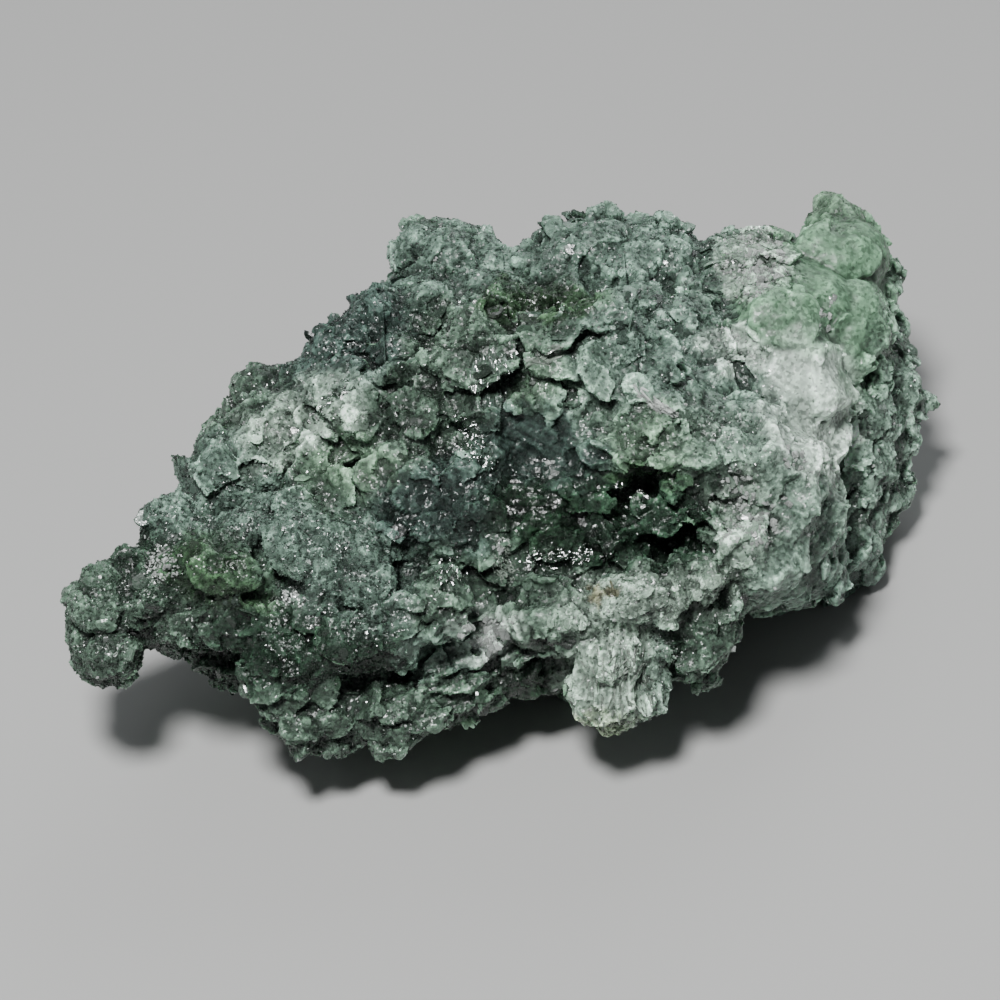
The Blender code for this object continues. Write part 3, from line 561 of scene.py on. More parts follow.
def turnedFrames(outward, side, turns):  # frames whose third axis points outward, turned about it from a side
    other = np.cross(outward, side)
    c, s = np.cos(turns)[:, None], np.sin(turns)[:, None]
    return np.stack([side * c + other * s, other * c - side * s, outward], 2)


def facingTurns(outward, turns):
    return turnedFrames(outward, unit(np.cross(np.array((0.3, 0.9, 0.2)), outward)), turns)


def copiesOf(seeds, picks, sites, turns, sizes):  # places and faces of turned and scaled copies, and each point's owner
    verts, faces, owners, start = [], [], [], 0
    for k, (seedVerts, seedFaces) in enumerate(seeds):
        mine = np.flatnonzero(picks == k)
        if not len(mine):
            continue
        shaped = seedVerts[None] * sizes[mine][:, None, :]
        placed = np.einsum("nij,nvj->nvi", turns[mine], shaped) + sites[mine][:, None, :]
        shift = start + np.arange(len(mine)) * len(seedVerts)
        verts.append(placed.reshape(-1, 3))
        faces.append((seedFaces[None] + shift[:, None, None]).reshape(-1, 3))
        owners.append(np.repeat(mine, len(seedVerts)))
        start += len(mine) * len(seedVerts)
    return np.concatenate(verts), np.concatenate(faces), np.concatenate(owners)


def meshOf(name, verts, faces):
    mesh = bpy.data.meshes.new(name)
    mesh.vertices.add(len(verts))
    mesh.loops.add(len(faces) * 3)
    mesh.polygons.add(len(faces))
    mesh.vertices.foreach_set("co", (verts * mm).ravel())
    mesh.loops.foreach_set("vertex_index", faces.ravel().astype(np.int32))
    mesh.polygons.foreach_set("loop_start", np.arange(0, len(faces) * 3, 3, dtype=np.int32))
    mesh.update(calc_edges=True)
    return mesh


def mergedCad():
    bm = bmesh.new()
    bm.from_mesh(frame["nodes"][nodeName].data)
    bmesh.ops.remove_doubles(bm, verts=bm.verts, dist=1e-6)
    mesh = bpy.data.meshes.new("mergedCad")
    bm.to_mesh(mesh)
    bm.free()
    return mesh


cadMesh = mergedCad()
cadPoints, cadNormals = readMesh(cadMesh)
cadTree = BVHTree.FromPolygons(cadPoints.tolist(), [list(face.vertices) for face in cadMesh.polygons])
eye = fromView(0, 0, showView["distance"])


def onStone(right, up):  # the place on the CAD stone that the show view has at (right, up)
    way = unit(fromView(right, up, 0) - eye)
    return np.array(cadTree.ray_cast(Vector(eye), Vector(way))[0])


def makePlates():  # every plate as its site, frame, half sizes and tone
    sites, outs, turns, sizes, tones = [], [], [], [], []
    for (right, up), radii, turn, lean, thick, tone in plates.values():
        out = unit(np.array((math.tan(math.radians(lean[0])), math.tan(math.radians(lean[1])), 1.0))) @ axes
        sites.append(onStone(right, up))
        outs.append(out)
        turns.append(math.radians(turn))
        sizes.append((*radii, thick))
        tones.append(tone)
    outs = np.array(outs)
    frames = turnedFrames(outs, unit(axes[0] - outs * (outs @ axes[0])[:, None]), turns)
    amounts = stoneFields(cadPoints, cadNormals)[1]
    spots, facing, _ = spread(cadMesh, amounts[:, 0] ** 3 * (1 - 0.75 * amounts[:, 1]), strayPlates["count"])
    facing = unit(facing + rng.uniform(-1, 1, facing.shape) * strayPlates["lean"])
    count = len(spots)
    radius = rng.uniform(*strayPlates["size"], (count, 1))
    radii = radius * rng.uniform(*strayPlates["uneven"], (count, 2))
    flat = np.hstack([radii, rng.uniform(*strayPlates["thick"], (count, 1))])
    frames = np.concatenate([frames, facingTurns(facing, rng.uniform(0, 6.28, count))])
    tones = np.concatenate([tones, rng.uniform(*strayPlates["tone"], count)])
    return np.concatenate([np.array(sites), spots]), frames, np.concatenate([np.array(sizes), flat]), tones


plateSites, plateFrames, plateSizes, plateTones = makePlates()
print("plates:", len(plateSites))


# the stone's body: the CAD stone and the plates, melted together at a finer size

bodyLook = {
    "voxel": 0.2, "smoothing": 2,  # mm, times
    "lumpSize": 3.0, "lumpHeight": 0.3,
    "noduleSize": 2.4, "noduleHeight": 0.4,
    "grainSize": 0.75, "grainHeight": 0.16,
    "breakSize": 2.6, "breakHeight": 0.4, "chipSize": 1.1, "chipHeight": 0.16,
    # the next depths and smoothing times find the ridges that get painted light and the creases and hollows that get
    # painted shade
    "creaseFine": 0.10, "fineReach": 20, "creaseBroad": 0.45, "broadReach": 200,  # mm deep, times smoothed to find them
    "cast": (1.0, 1.09, 1.05), "sharp": 35,  # a green cast over all, degrees
    "cuts": (-21.5, -9.8, 1.4, 12.4, 24.6),  # where the body is parted along its length
}

# what makes the skin lighter or darker, as steps of the logarithm of its colour: painted light on ridges and on the
# plates' rims, painted shade in creases, broad painted shade in hollows and painted light on swellings, the random
# tones of nodules and breaks, and a darkening over all
shadeLook = {
    "ridge": 0.45, "creaseShade": 0.3, "broad": 0.6, "nodule": 0.35, "rim": 0.2, "break": 1.0, "chip": 0.3, "overall": -0.1,
}
plateCalm = {"lump": 0.15, "named": 0.75, "stray": 0.5}  # how much of the nodules and grains the plates do without


def cellRandoms(cells, seed, count):  # the same random numbers for the same cell in every run
    h = (cells[:, 0] * 73856093) ^ (cells[:, 1] * 19349663) ^ (cells[:, 2] * 83492791) ^ (seed * 668265263)
    h = h.astype(np.uint64) & np.uint64(0xFFFFFFFF)
    numbers = []
    for _ in range(count):
        h = ((h ^ (h >> np.uint64(15))) * np.uint64(2246822519)) & np.uint64(0xFFFFFFFF)
        h = ((h ^ (h >> np.uint64(13))) * np.uint64(3266489917)) & np.uint64(0xFFFFFFFF)
        numbers.append(((h ^ (h >> np.uint64(16))) & np.uint64(0xFFFFFF)).astype(float) / 0xFFFFFF)
    return np.stack(numbers, 1)


def nodules(points, size, seed):  # rounded grains of random sizes, with creases between them: height and shade
    cell = np.floor(points / size).astype(np.int64)
    height, shade = np.full(len(points), 0.0), np.full(len(points), 0.3)
    wobble = 1 + 0.15 * noiseAt(points, size * 0.35, 2.0 * seed)
    for step in np.ndindex(3, 3, 3):
        mine = cell + np.array(step) - 1
        draw = cellRandoms(mine, seed, 5)
        away = np.linalg.norm(points - (mine + draw[:, :3]) * size, axis=1)
        reach = away * wobble / (size * (0.6 + 0.35 * draw[:, 3]))
        rise = np.sqrt(np.clip(1 - reach * reach, 0, 1)) * (0.6 + 0.4 * draw[:, 4])
        wins = rise > height
        height = np.where(wins, rise, height)
        shade = np.where(wins, draw[:, 3], shade)
    return height, shade


def breaks(points, size, seed):  # cells that each lean their own way, like broken crystal: height in cells and shade
    cell = np.floor(points / size).astype(np.int64)
    best = np.full(len(points), np.inf)
    height, shade = np.zeros(len(points)), np.zeros(len(points))
    for step in np.ndindex(3, 3, 3):
        mine = cell + np.array(step) - 1
        draw = cellRandoms(mine, seed, 7)
        off = points / size - mine - draw[:, :3]
        reach = np.abs(off).max(1) + 0.5 * np.abs(off).sum(1)
        wins = reach < best
        best = np.where(wins, reach, best)
        height = np.where(wins, (off * (draw[:, 3:6] - 0.5)).sum(1) * 1.6 + (draw[:, 6] - 0.5) * 0.4, height)
        shade = np.where(wins, draw[:, 6], shade)
    return height * size, shade


# fibres and fine breaks: region (right, up), half sizes and turn, root (right, up), whether the lines run around the
# root or out from it, width and height of a line in mm, contrast
ribs = {
    "tooth": ((10.2, -15.6), (3.8, 5.2), 0, (10.2, -2.0), False, 0.55, 0.3, 0.35),
    "fan": ((-6.5, -0.5), (5.8, 4.0), 0, (-5.0, 13.0), False, 0.6, 0.10, 0.35),
    "crest": ((-1.5, 11.2), (3.2, 3.4), 0, (-2.6, 18.0), False, 0.3, 0.12, 0.4),
    "hollow": ((3.0, 5.0), (4.0, 2.6), -20, (-16.0, 16.0), False, 0.4, 0.10, 0.7),
    "bowl": ((4.8, -0.8), (5.4, 2.8), 0, (4.0, 12.0), True, 0.4, 0.07, 0.9),
    "rightLines": ((20.9, 9.5), (5.0, 2.6), -25, (0.0, 28.0), False, 0.3, 0.06, 0.4),
    "rightMass": ((25.5, -1.0), (4.2, 6.5), 0, (8.0, 24.0), False, 0.35, 0.05, 0.3),
    "knob": ((-31.8, -13.5), (2.6, 2.6), 0, (-44.0, -24.0), False, 0.35, 0.10, 0.3),
    "shingles": ((-4.4, -17.0), (5.5, 3.4), 20, (-34.0, -30.0), False, 0.5, 0.2, 0.5),
}


def ribMarks(points, normals):  # how far the lines stand out, in mm, and their shade
    view = toView(points)[:, :2]
    seen = smoothStep(-0.1, 0.2, normals @ axes[2])
    lift, tone = np.zeros(len(points)), np.zeros(len(points))
    for number, (at, size, turn, root, around, width, height, contrast) in enumerate(ribs.values()):
        weight = nearness(view, at, size, turn) * seen
        on = np.flatnonzero(weight > 0.02)
        off = view[on] - np.array(root)
        reach = np.hypot(off[:, 0], off[:, 1])
        sweep = np.arctan2(off[:, 0], off[:, 1]) * math.dist(at, root)
        across, along = (reach, sweep) if around else (sweep, reach)
        place = np.stack([across / width, along / width / 9, np.full(len(on), 5.0 * number)], 1)
        lines = noiseAt(place, 1.0) + 0.5 * noiseAt(place * np.array((2.3, 1.6, 1.0)), 1.0, 7.0)
        lift[on] += lines * height * weight[on]
        tone[on] += lines * contrast * weight[on]
    return lift, tone


def softened(mesh, times):  # the places of the points after smoothing
    piece = bpy.data.objects.new("soft", mesh.copy())
    bpy.context.scene.collection.objects.link(piece)
    soft = piece.modifiers.new("soft", "SMOOTH")
    soft.factor = 0.5
    soft.iterations = times
    bakeModifiers(piece)
    points = readMesh(piece.data)[0]
    bpy.data.objects.remove(piece)
    return points


def dropLoose(mesh):  # keeps the largest connected part
    edges = np.empty(len(mesh.edges) * 2, dtype=np.int32)
    mesh.edges.foreach_get("vertices", edges)
    ends = edges.reshape(-1, 2).T
    part = np.arange(len(mesh.vertices))
    while True:
        low = part[ends].min(0)
        joined = part.copy()
        for end in ends:
            np.minimum.at(joined, part[end], low)
        while (joined[joined] != joined).any():
            joined = joined[joined]
        if (joined == part).all():
            break
        part = joined
    sizes = np.bincount(part)
    loose = np.flatnonzero(part != sizes.argmax())
    print("loose bits dropped:", (sizes > 0).sum() - 1, "with", len(loose), "points")
    bm = bmesh.new()
    bm.from_mesh(mesh)
    bm.verts.ensure_lookup_table()
    bmesh.ops.delete(bm, geom=[bm.verts[k] for k in loose.tolist()], context="VERTS")
    bm.to_mesh(mesh)
    bm.free()


def meltBody():
    seeds = [plateSeed(False)] + [plateSeed(True) for _ in range(16)]
    picks = np.where(plateSizes[:, 2] > lumpFrom, 0, rng.randint(1, len(seeds), size=len(plateSites)))
    verts, faces, _ = copiesOf(seeds, picks, plateSites, plateFrames, plateSizes)
    warp = np.stack([noiseAt(verts, plateWarp["size"], 11.0 * k) for k in (1, 2, 3)], 1)
    verts += warp * plateWarp["reach"]
    plateMesh = meshOf("plates", verts, faces)
    bm = bmesh.new()
    bm.from_mesh(cadMesh)
    bm.from_mesh(plateMesh)
    mesh = bpy.data.meshes.new("body")
    bm.to_mesh(mesh)
    bm.free()
    body = bpy.data.objects.new("body", mesh)
    bpy.context.scene.collection.objects.link(body)
    remesh = body.modifiers.new("melt", "REMESH")
    remesh.mode = "VOXEL"
    remesh.voxel_size = bodyLook["voxel"] * mm
    bakeModifiers(body)
    mesh = body.data
    bpy.data.objects.remove(body)
    dropLoose(mesh)
    writePlaces(mesh, softened(mesh, bodyLook["smoothing"]))
    return mesh


def plateMarks(points):  # the tone of the plate that each point is on, and how near its rim
    tree = KDTree(len(points))
    for k, point in enumerate(points.tolist()):
        tree.insert(point, k)
    tree.balance()
    tone, rim, calm = np.ones(len(points)), np.zeros(len(points)), np.zeros(len(points))
    for number, (site, turn, size, value) in enumerate(zip(plateSites, plateFrames, plateSizes, plateTones)):
        near = np.array([k for _, k, _ in tree.find_range(site.tolist(), max(size) * 1.15)], dtype=int)
        if not len(near):
            continue
        local = (points[near] - site) @ turn / size
        reach = np.hypot(local[:, 0], local[:, 1])
        on = (reach < 1.12) & (np.abs(local[:, 2]) < 1.25) & (local[:, 2] > -0.2)
        tone[near[on]] = value
        rim[near[on]] = np.clip(reach[on], 0, 1) ** 5 * (size[2] < lumpFrom)
        calm[near[on]] = plateCalm["lump" if size[2] > lumpFrom else "named" if number < len(plates) else "stray"]
    return tone, rim, calm


def addRelief(points, normals, rough, amounts, calm):  # moves the points outward; gives the shade of what it adds
    lift = fractalAt(points, bodyLook["lumpSize"]) * bodyLook["lumpHeight"]
    big, bigShade = nodules(points, bodyLook["noduleSize"], 3)
    small, smallShade = nodules(points, bodyLook["grainSize"], 5)
    lift += (
        (big - 0.6) * bodyLook["noduleHeight"] * rough ** 1.5 * (0.3 + 0.7 * amounts[:, 1])
        + (small - 0.6) * bodyLook["grainHeight"] * rough
    )
    # flat breaks where the stone isn't sugary
    broken = smoothStep(0.1, 0.4, amounts[:, 0]) * (1 - 0.75 * amounts[:, 1])
    wide, wideShade = breaks(points, bodyLook["breakSize"], 7)
    chip, chipShade = breaks(points, bodyLook["chipSize"], 9)
    lift += broken * (wide * bodyLook["breakHeight"] * (1 - 0.4 * calm) + chip * bodyLook["chipHeight"])
    lines, lineShade = ribMarks(points, normals)
    points += normals * (lift + lines)[:, None]
    points[:, 2] = np.maximum(points[:, 2], floorGap["points"])
    shade = lineShade + shadeLook["nodule"] * rough * (bigShade + smallShade - 1)
    return shade + broken * (shadeLook["break"] * (wideShade - 0.5) + shadeLook["chip"] * (chipShade - 0.5))


def makeBody():
    mesh = meltBody()
    points, normals = readMesh(mesh)
    colour, amounts = stoneFields(points, normals)
    tone, rim, calm = plateMarks(points)
    shade = addRelief(points, normals, amounts[:, 0] * (1 - calm), amounts, calm)
    writePlaces(mesh, points)
    points, normals = readMesh(mesh)
    fine = ((points - softened(mesh, bodyLook["fineReach"])) * normals).sum(1) / bodyLook["creaseFine"]
    broad = ((points - softened(mesh, bodyLook["broadReach"])) * normals).sum(1) / bodyLook["creaseBroad"]
    # painted light on ridges and painted shade in creases, by how far each point stands out of the smoothed skin
    shade += np.where(fine > 0, shadeLook["ridge"], shadeLook["creaseShade"]) * np.clip(fine, -1.5, 1.0)
    # broad painted shade in hollows and broad painted light on swellings
    shade += shadeLook["broad"] * np.clip(broad, -1.1, 1.0)
    # the plates' own random tones, their rims painted lighter as if light shone through their thin edges, and a
    # darkening over all
    shade += np.log(tone) + shadeLook["rim"] * rim + shadeLook["overall"]
    amounts[:, 1:] *= np.clip(1 - 0.95 * calm + 0.6 * rim, 0, 1)[:, None]
    texture = smoothStep(0.09, 0.3, amounts[:, 0])
    drift = (0.2 + 0.2 * texture) * noiseAt(points, 2.1, 3.0) + (0.15 + 0.5 * texture) * noiseAt(points, 0.45, 8.0)
    tint = colour * np.array(bodyLook["cast"]) * np.exp(drift + shade)[:, None]
    paint(mesh, tint, 0.12 + 0.88 * texture)
    print("body:", len(points), "points")
    return mesh, tint, amounts


bodyMesh, bodyTint, bodyAmounts = makeBody()
bodyPoints, bodyNormals = readMesh(bodyMesh)


def partBody(name, low, high):  # the length of the body between two cuts, closed at both
    bm = bmesh.new()
    bm.from_mesh(bodyMesh)
    bmesh.ops.scale(bm, vec=(1 / mm,) * 3, verts=bm.verts)  # the fill below needs edges that aren't tiny
    for place, way in ((low, -1), (high, 1)):
        if place is None:
            continue
        cut = bmesh.ops.bisect_plane(
            bm, geom=bm.verts[:] + bm.edges[:] + bm.faces[:], dist=1e-4,
            plane_co=(place, 0, 0), plane_no=(way, 0, 0), clear_outer=True)
        rim = [item for item in cut["geom_cut"] if isinstance(item, bmesh.types.BMVert)]
        bmesh.ops.remove_doubles(bm, verts=rim, dist=0.01)
        for beauty in (True, False):
            bare = [edge for edge in bm.edges if len(edge.link_faces) == 1]
            if bare:
                bmesh.ops.triangle_fill(bm, edges=bare, use_beauty=beauty, normal=(way, 0, 0))
    bmesh.ops.scale(bm, vec=(mm,) * 3, verts=bm.verts)
    mesh = bpy.data.meshes.new(name)
    bm.to_mesh(mesh)
    bm.free()
    piece = addPiece(name, mesh, skinMaterial)
    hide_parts(nodeName)
    mesh.shade_smooth()
    mesh.set_sharp_from_angle(angle=math.radians(bodyLook["sharp"]))
    print(name + ":", sum(len(face.vertices) - 2 for face in mesh.polygons), "triangles")


cuts = (None, *bodyLook["cuts"], None)
for number, (low, high) in enumerate(zip(cuts, cuts[1:]), 1):
    partBody(f"stone{number}", low, high)


# crystals on the body

def scatter(name, seeds, sites, turns, sizes, colours, material, paintedRimLight=(1, 1)):  # copies of the seeds as one piece
    picks = rng.randint(len(seeds), size=len(sites))
    verts, faces, owners = copiesOf(seeds, picks, sites, turns, sizes)
    verts[:, 2] = np.maximum(verts[:, 2], floorGap["points"])
    mesh = meshOf(name, verts, faces)
    mesh.shade_flat()
    # each point's colour is scaled from the first factor at the crystal's middle to the second at its rim: painted rim
    # light where the second is higher
    reach = np.clip(np.linalg.norm((verts - sites[owners]) / sizes[owners].max(1)[:, None], axis=1), 0, 1)
    paint(mesh, colours[owners] * (paintedRimLight[0] + (paintedRimLight[1] - paintedRimLight[0]) * reach ** 2)[:, None])
    print(name + ":", len(sites), "crystals,", len(faces), "triangles")
    return addPiece(name, mesh, material)


frontness = smoothStep(-0.3, 0.3, bodyNormals @ axes[2])

# half sizes in mm and the power that makes most of them small, how uneven they are, how bright against the skin,
# and how they crowd: by which power of the place's amount, and how many stand on the far side
sugarLook = {
    "count": 40000, "parts": 4, "size": (0.05, 0.14), "skew": 1, "uneven": (0.7, 1.3), "bright": (0.35, 1.7),
    "crowd": 1.5, "behind": 0.25,
}
chunkLook = {
    "count": 1500, "size": (0.12, 0.38), "skew": 1.3, "uneven": (0.7, 1.3), "bright": (0.4, 1.3),
    "crowd": 1.5, "behind": 0.3, "sunk": 0.35,
}
whiteLook = {
    "count": 1500, "size": (0.06, 0.24), "skew": 1.2, "uneven": (0.6, 1.4), "bright": (0.5, 1.2),
    "crowd": 3, "behind": 0.1,
}


def facingShare(behind):  # 1 on the show side, less on the far side
    return behind + (1 - behind) * frontness


def crop(look, amounts):  # places, outward directions, nearest points of the body and half sizes
    spots, facing, near = spread(bodyMesh, amounts ** look["crowd"] * facingShare(look["behind"]), look["count"])
    size = rng.uniform(*look["size"], (len(spots), 1)) ** look["skew"] * rng.uniform(*look["uneven"], (len(spots), 3))
    return spots, facing, near, size


def brightness(look):  # against the skin, evenly spread in its logarithm
    return np.exp(rng.uniform(*[math.log(value) for value in look["bright"]], (look["count"], 1)))


sugarSeeds = [chipSeed(0, 0.38) for _ in range(10)]
spots, _, near, size = crop(sugarLook, bodyAmounts[:, 1])
tints = bodyTint[near] * brightness(sugarLook)
turns = randomTurns(len(spots))
for number, part in enumerate(np.array_split(np.arange(len(spots)), sugarLook["parts"]), 1):
    scatter(f"sugar{number}", sugarSeeds, spots[part], turns[part], size[part], tints[part], crystalMaterial)

chunkSeeds = [chipSeed(3, 0.25) for _ in range(10)]
spots, facing, near, size = crop(chunkLook, bodyAmounts[:, 2])
tints = bodyTint[near] * brightness(chunkLook)
spots = spots - facing * size.mean(1)[:, None] * chunkLook["sunk"]
scatter("chunks", chunkSeeds, spots, randomTurns(len(spots)), size, tints, crystalMaterial)

spots, _, _, size = crop(whiteLook, bodyAmounts[:, 3])
tints = np.array(palette["white"]) * rng.uniform(*whiteLook["bright"], (len(spots), 1))
scatter("whiteCrystals", chunkSeeds, spots, randomTurns(len(spots)), size, tints, crystalMaterial)


# flakes: thin broken scales that stand out of the skin, leaning alike where they are neighbours

flakeLook = {
    "count": 2200, "size": (0.25, 1.2), "skew": 2.5, "thick": (0.06, 0.14), "bright": (0.7, 1.9), "behind": 0.3,
    # rim and heart: factors on a flake's colour at its edge and middle, painted light as if shining through the thin
    # edges
    "lean": 0.55, "leanSize": 3.5, "sunk": 0.1, "rim": 1.4, "heart": 0.75,
}


def flakeSeed():
    bm = bmesh.new()
    segments = rng.randint(9, 14)
    bmesh.ops.create_cone(bm, cap_ends=True, segments=segments, radius1=1, radius2=0.85, depth=2)
    for vert in bm.verts:
        turn = math.atan2(vert.co.y, vert.co.x)
        reach = 0.85 + 0.25 * noise.noise((math.cos(turn) * 1.5, math.sin(turn) * 1.5, 3.0 * segments))
        vert.co.x *= reach
        vert.co.y *= reach * 0.8
    return triangulated(bm)


def addFlakes():
    look = flakeLook
    seeds = [flakeSeed() for _ in range(14)]
    density = bodyAmounts[:, 0] ** 2 * (0.15 + 0.85 * bodyAmounts[:, 1]) * facingShare(look["behind"])
    spots, facing, near = spread(bodyMesh, density, look["count"])
    field = np.stack([noiseAt(spots, look["leanSize"], 17.0 * k) for k in (1, 2, 3)], 1) * 2
    outward = unit(facing + (field + rng.uniform(-0.35, 0.35, spots.shape)) * look["lean"])
    count = len(spots)
    radius = look["size"][0] + (look["size"][1] - look["size"][0]) * rng.uniform(size=(count, 1)) ** look["skew"]
    sizes = np.hstack([radius * rng.uniform(0.8, 1.2, (count, 2)), rng.uniform(*look["thick"], (count, 1))])
    tints = bodyTint[near] * brightness(look)
    scatter("flakes", seeds, spots - facing * look["sunk"], facingTurns(outward, rng.uniform(0, 6.28, count)), sizes,
            tints, flakeMaterial, (look["heart"], look["rim"]))


addFlakes()


# blades of crystal: bundles that run from a root, some with faces that glint towards the show view

# region (right, up), half sizes and turn, root (right, up), count, half sizes of a blade, colour, spread, glint
bladeBundles = {
    "tooth": ((10.4, -16.2), (3.2, 3.6), 0, (10.8, -5.0), 260, (0.07, 0.12, 0.5), "pale", 0.07, False),
    "crestGlint": ((-0.9, 10.5), (1.9, 2.6), -25, (-2.6, 18.0), 300, (0.05, 0.09, 0.26), "ash", 0.15, True),
    "heartGlint": ((-2.2, 4.9), (1.1, 3.0), 35, (-6.0, 14.0), 380, (0.05, 0.09, 0.12), "dark", 0.9, True),
    "stripGlint": ((5.3, -5.0), (3.2, 0.8), 6, (20.0, -3.4), 330, (0.05, 0.09, 0.17), "dark", 0.5, True),
    "browGlint": ((11.1, 0.9), (1.3, 0.7), -6, (24.0, -3.0), 130, (0.05, 0.09, 0.16), "dark", 0.5, True),
    "clusterGlint": ((-4.5, -6.4), (1.2, 1.5), 0, (-4.0, 3.0), 160, (0.05, 0.09, 0.18), "dark", 0.4, True),
    "whiteVein": ((0.3, -5.5), (0.9, 2.3), 12, (-1.5, 4.0), 150, (0.05, 0.09, 0.16), "pale", 0.9, False),
    "crestStreak": ((4.0, 12.5), (1.9, 0.35), 32, (-6.0, 6.5), 40, (0.08, 0.16, 0.7), "pale", 0.08, False),
    "longStreak": ((13.5, 8.3), (2.0, 0.35), -35, (4.0, 15.0), 40, (0.08, 0.16, 0.6), "white", 0.1, False),
    "armGlint": ((-18.3, -8.2), (0.7, 0.7), 0, (-18.3, 0.0), 40, (0.07, 0.13, 0.15), "white", 0.9, True),
    # at the neck: white blades painted where the stone glints, a painted highlight rather than faces turned to mirror
    # the key light
    "neckPaintedGlint": ((-29.3, -5.6), (1.3, 1.6), 30, (-29.3, 4.0), 120, (0.08, 0.14, 0.18), "white", 0.9, False),
    "backGlint": ((-15.0, 8.5), (3.0, 0.5), 42, (0.0, 20.0), 90, (0.06, 0.12, 0.2), "dark", 0.5, True),
}


def bladeSeed():
    bm = bmesh.new()
    bmesh.ops.create_cone(bm, cap_ends=True, segments=6, radius1=1, radius2=rng.uniform(0.25, 0.8), depth=2)
    for vert in bm.verts:
        vert.co += Vector(rng.uniform(-0.15, 0.15, 3))
    return triangulated(bm)


bodyWarp = np.stack([noiseAt(bodyPoints, 0.9, 13.0 * k) for k in (1, 2)], 1)


def regionWeights(at, size, turn):
    reach = np.sqrt(ellipseReach(toView(bodyPoints)[:, :2] + 0.5 * bodyWarp, at, size, turn))
    return smoothStep(1.15, 0.85, reach) * smoothStep(0.0, 0.3, bodyNormals @ axes[2])


def keyWay():  # towards the key light
    tilt, lean = math.radians(lightLook["keyTilt"]), math.radians(lightLook["keyLean"])
    return np.array((math.tan(lean), -math.tan(tilt), 1))


def addBlades():
    mirror = unit(unit(keyWay()) + axes[2])
    seeds = [bladeSeed() for _ in range(8)]
    groups = {True: [], False: []}
    for at, size, turn, root, count, blade, name, scatterBy, glint in bladeBundles.values():
        spots, facing, _ = spread(bodyMesh, regionWeights(at, size, turn), count)
        start = fromView(*root, (spots - middle).mean(0) @ axes[2])
        along = unit(spots - start) + rng.normal(size=spots.shape) * scatterBy
        flat = facing + rng.normal(size=spots.shape) * 0.15
        if glint:
            flat = mirror + rng.normal(size=spots.shape) * 0.06
        flat = unit(flat)
        along = unit(along - flat * (along * flat).sum(1)[:, None])
        turns = np.stack([flat, np.cross(along, flat), along], 2)
        sizes = np.array(blade) * rng.uniform(0.6, 1.4, (count, 3))
        tints = np.array(palette[name]) * np.exp(rng.uniform(-0.7, 0.5, (count, 1)))
        groups[glint].append((spots, turns, sizes, tints))
    for glint, name in ((False, "blades"), (True, "glints")):
        parts = [np.concatenate(part) for part in zip(*groups[glint])]
        scatter(name, seeds, *parts, glintMaterial if glint else crystalMaterial)


addBlades()


# white blocks in small groups: region (right, up), half sizes, count, half size of a block
whiteBlocks = {
    "chip": ((2.1, 3.3), (0.3, 0.3), 3, 0.3),
    "chipRight": ((4.6, 2.6), (0.6, 0.8), 9, 0.35),
    "lowBlock": ((-1.3, -11.7), (2.0, 1.5), 34, 0.55),
    "rightCluster": ((21.9, -1.9), (2.1, 2.6), 60, 0.4),
    "rightHigh": ((21.0, 1.5), (1.4, 1.2), 14, 0.35),
    "domePatch": ((28.3, 16.4), (0.9, 2.0), 26, 0.35),
    "fleck": ((25.6, 3.5), (1.0, 0.9), 16, 0.4),
    "fleckLow": ((25.1, -0.1), (0.5, 0.5), 5, 0.4),
    "fleckLowest": ((27.0, -3.0), (0.5, 0.8), 6, 0.3),
    "backPatch": ((22.8, 20.4), (2.0, 1.9), 60, 0.4),
    "underLedge": ((19.6, -12.6), (1.2, 0.8), 10, 0.35),
    "vein": ((0.0, -4.4), (0.7, 1.1), 12, 0.35),
}


def addWhiteBlocks():
    groups = []
    for at, size, count, blockSize in whiteBlocks.values():
        spots, facing, _ = spread(bodyMesh, regionWeights(at, size, 0), count)
        sizes = blockSize * rng.uniform(0.4, 1.3, (count, 1)) * rng.uniform(0.6, 1.2, (count, 3))
        tints = np.array(palette["white"]) * rng.uniform(0.45, 1.15, (count, 1))
        groups.append((spots - facing * sizes.mean(1)[:, None] * 0.25, randomTurns(count), sizes, tints))
    scatter("whiteBlocks", chunkSeeds, *[np.concatenate(part) for part in zip(*groups)], crystalMaterial)


addWhiteBlocks()


# floor, light and camera

floorLook = {"side": 3.0, "colour": (0.34, 0.34, 0.335), "rough": 0.7}


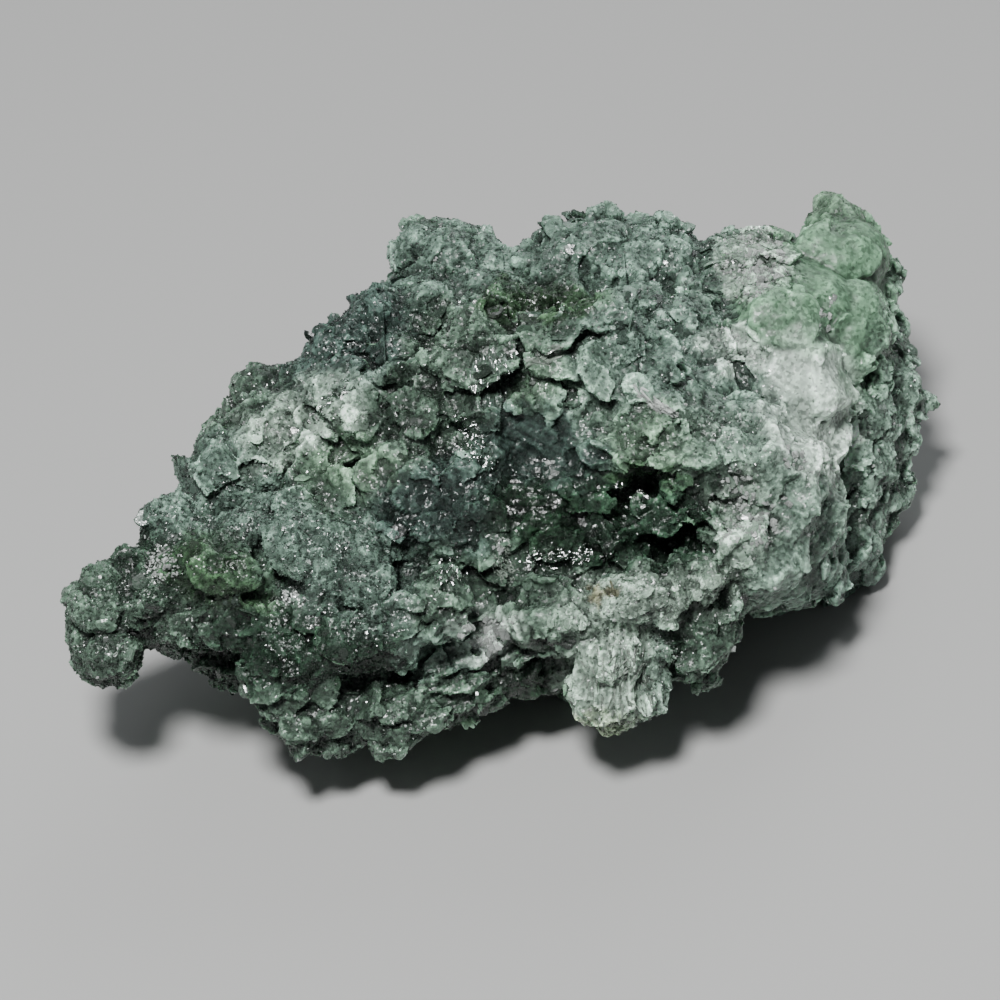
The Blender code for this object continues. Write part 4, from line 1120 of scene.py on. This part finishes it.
def makeFloor():
    bm = bmesh.new()
    bmesh.ops.create_grid(bm, x_segments=1, y_segments=1, size=floorLook["side"] / 2)
    mesh = bpy.data.meshes.new("floor")
    bm.to_mesh(mesh)
    bm.free()
    floor = bpy.data.objects.new("floor", mesh)
    bpy.context.scene.collection.objects.link(floor)
    material = bpy.data.materials.new("paleFloor")
    material.use_nodes = True
    shader = material.node_tree.nodes["Principled BSDF"]
    shader.inputs["Base Color"].default_value = (*floorLook["colour"], 1)
    shader.inputs["Roughness"].default_value = floorLook["rough"]
    mesh.materials.append(material)


def addArea(name, way, distance, size, power, colour):
    data = bpy.data.lights.new(name, "AREA")
    data.shape = "DISK"
    data.size = size
    data.energy = power
    data.color = colour
    lamp = bpy.data.objects.new(name, data)
    aim = Vector(lightLook["aim"])
    lamp.location = aim + Vector(way).normalized() * distance
    lamp.rotation_euler = (lamp.location - aim).to_track_quat("Z", "Y").to_euler()
    bpy.context.scene.collection.objects.link(lamp)


def makeLight():
    look = lightLook
    addArea("keyLight", keyWay(), look["keyDistance"], look["keySize"], look["keyPower"], (1, 1, 1))
    for name in ("fill", "back"):
        addArea(name + "Light", look[name + "Way"], look["softDistance"], look["softSize"], look[name + "Power"],
                look["softColour"])
    world = bpy.data.worlds.new("studio")
    world.use_nodes = True
    world.node_tree.nodes["Background"].inputs["Color"].default_value = (*look["skyColour"], 1)
    world.node_tree.nodes["Background"].inputs["Strength"].default_value = look["sky"]
    bpy.context.scene.world = world


def makeCamera():
    data = bpy.data.cameras.new("showCamera")
    camera = bpy.data.objects.new("showCamera", data)
    matrix = Matrix(axes.tolist()).transposed().to_4x4()
    matrix.translation = Vector(middle + axes[2] * showView["distance"]) * mm
    camera.matrix_world = matrix
    data.sensor_width = 36
    data.lens = 36 * showView["distance"] / (showView["mmPerPixel"] * 1000)
    data.clip_start = 0.01
    bpy.context.scene.collection.objects.link(camera)
    bpy.context.scene.camera = camera


makeFloor()
makeLight()
makeCamera()
print("floor, light and camera set")
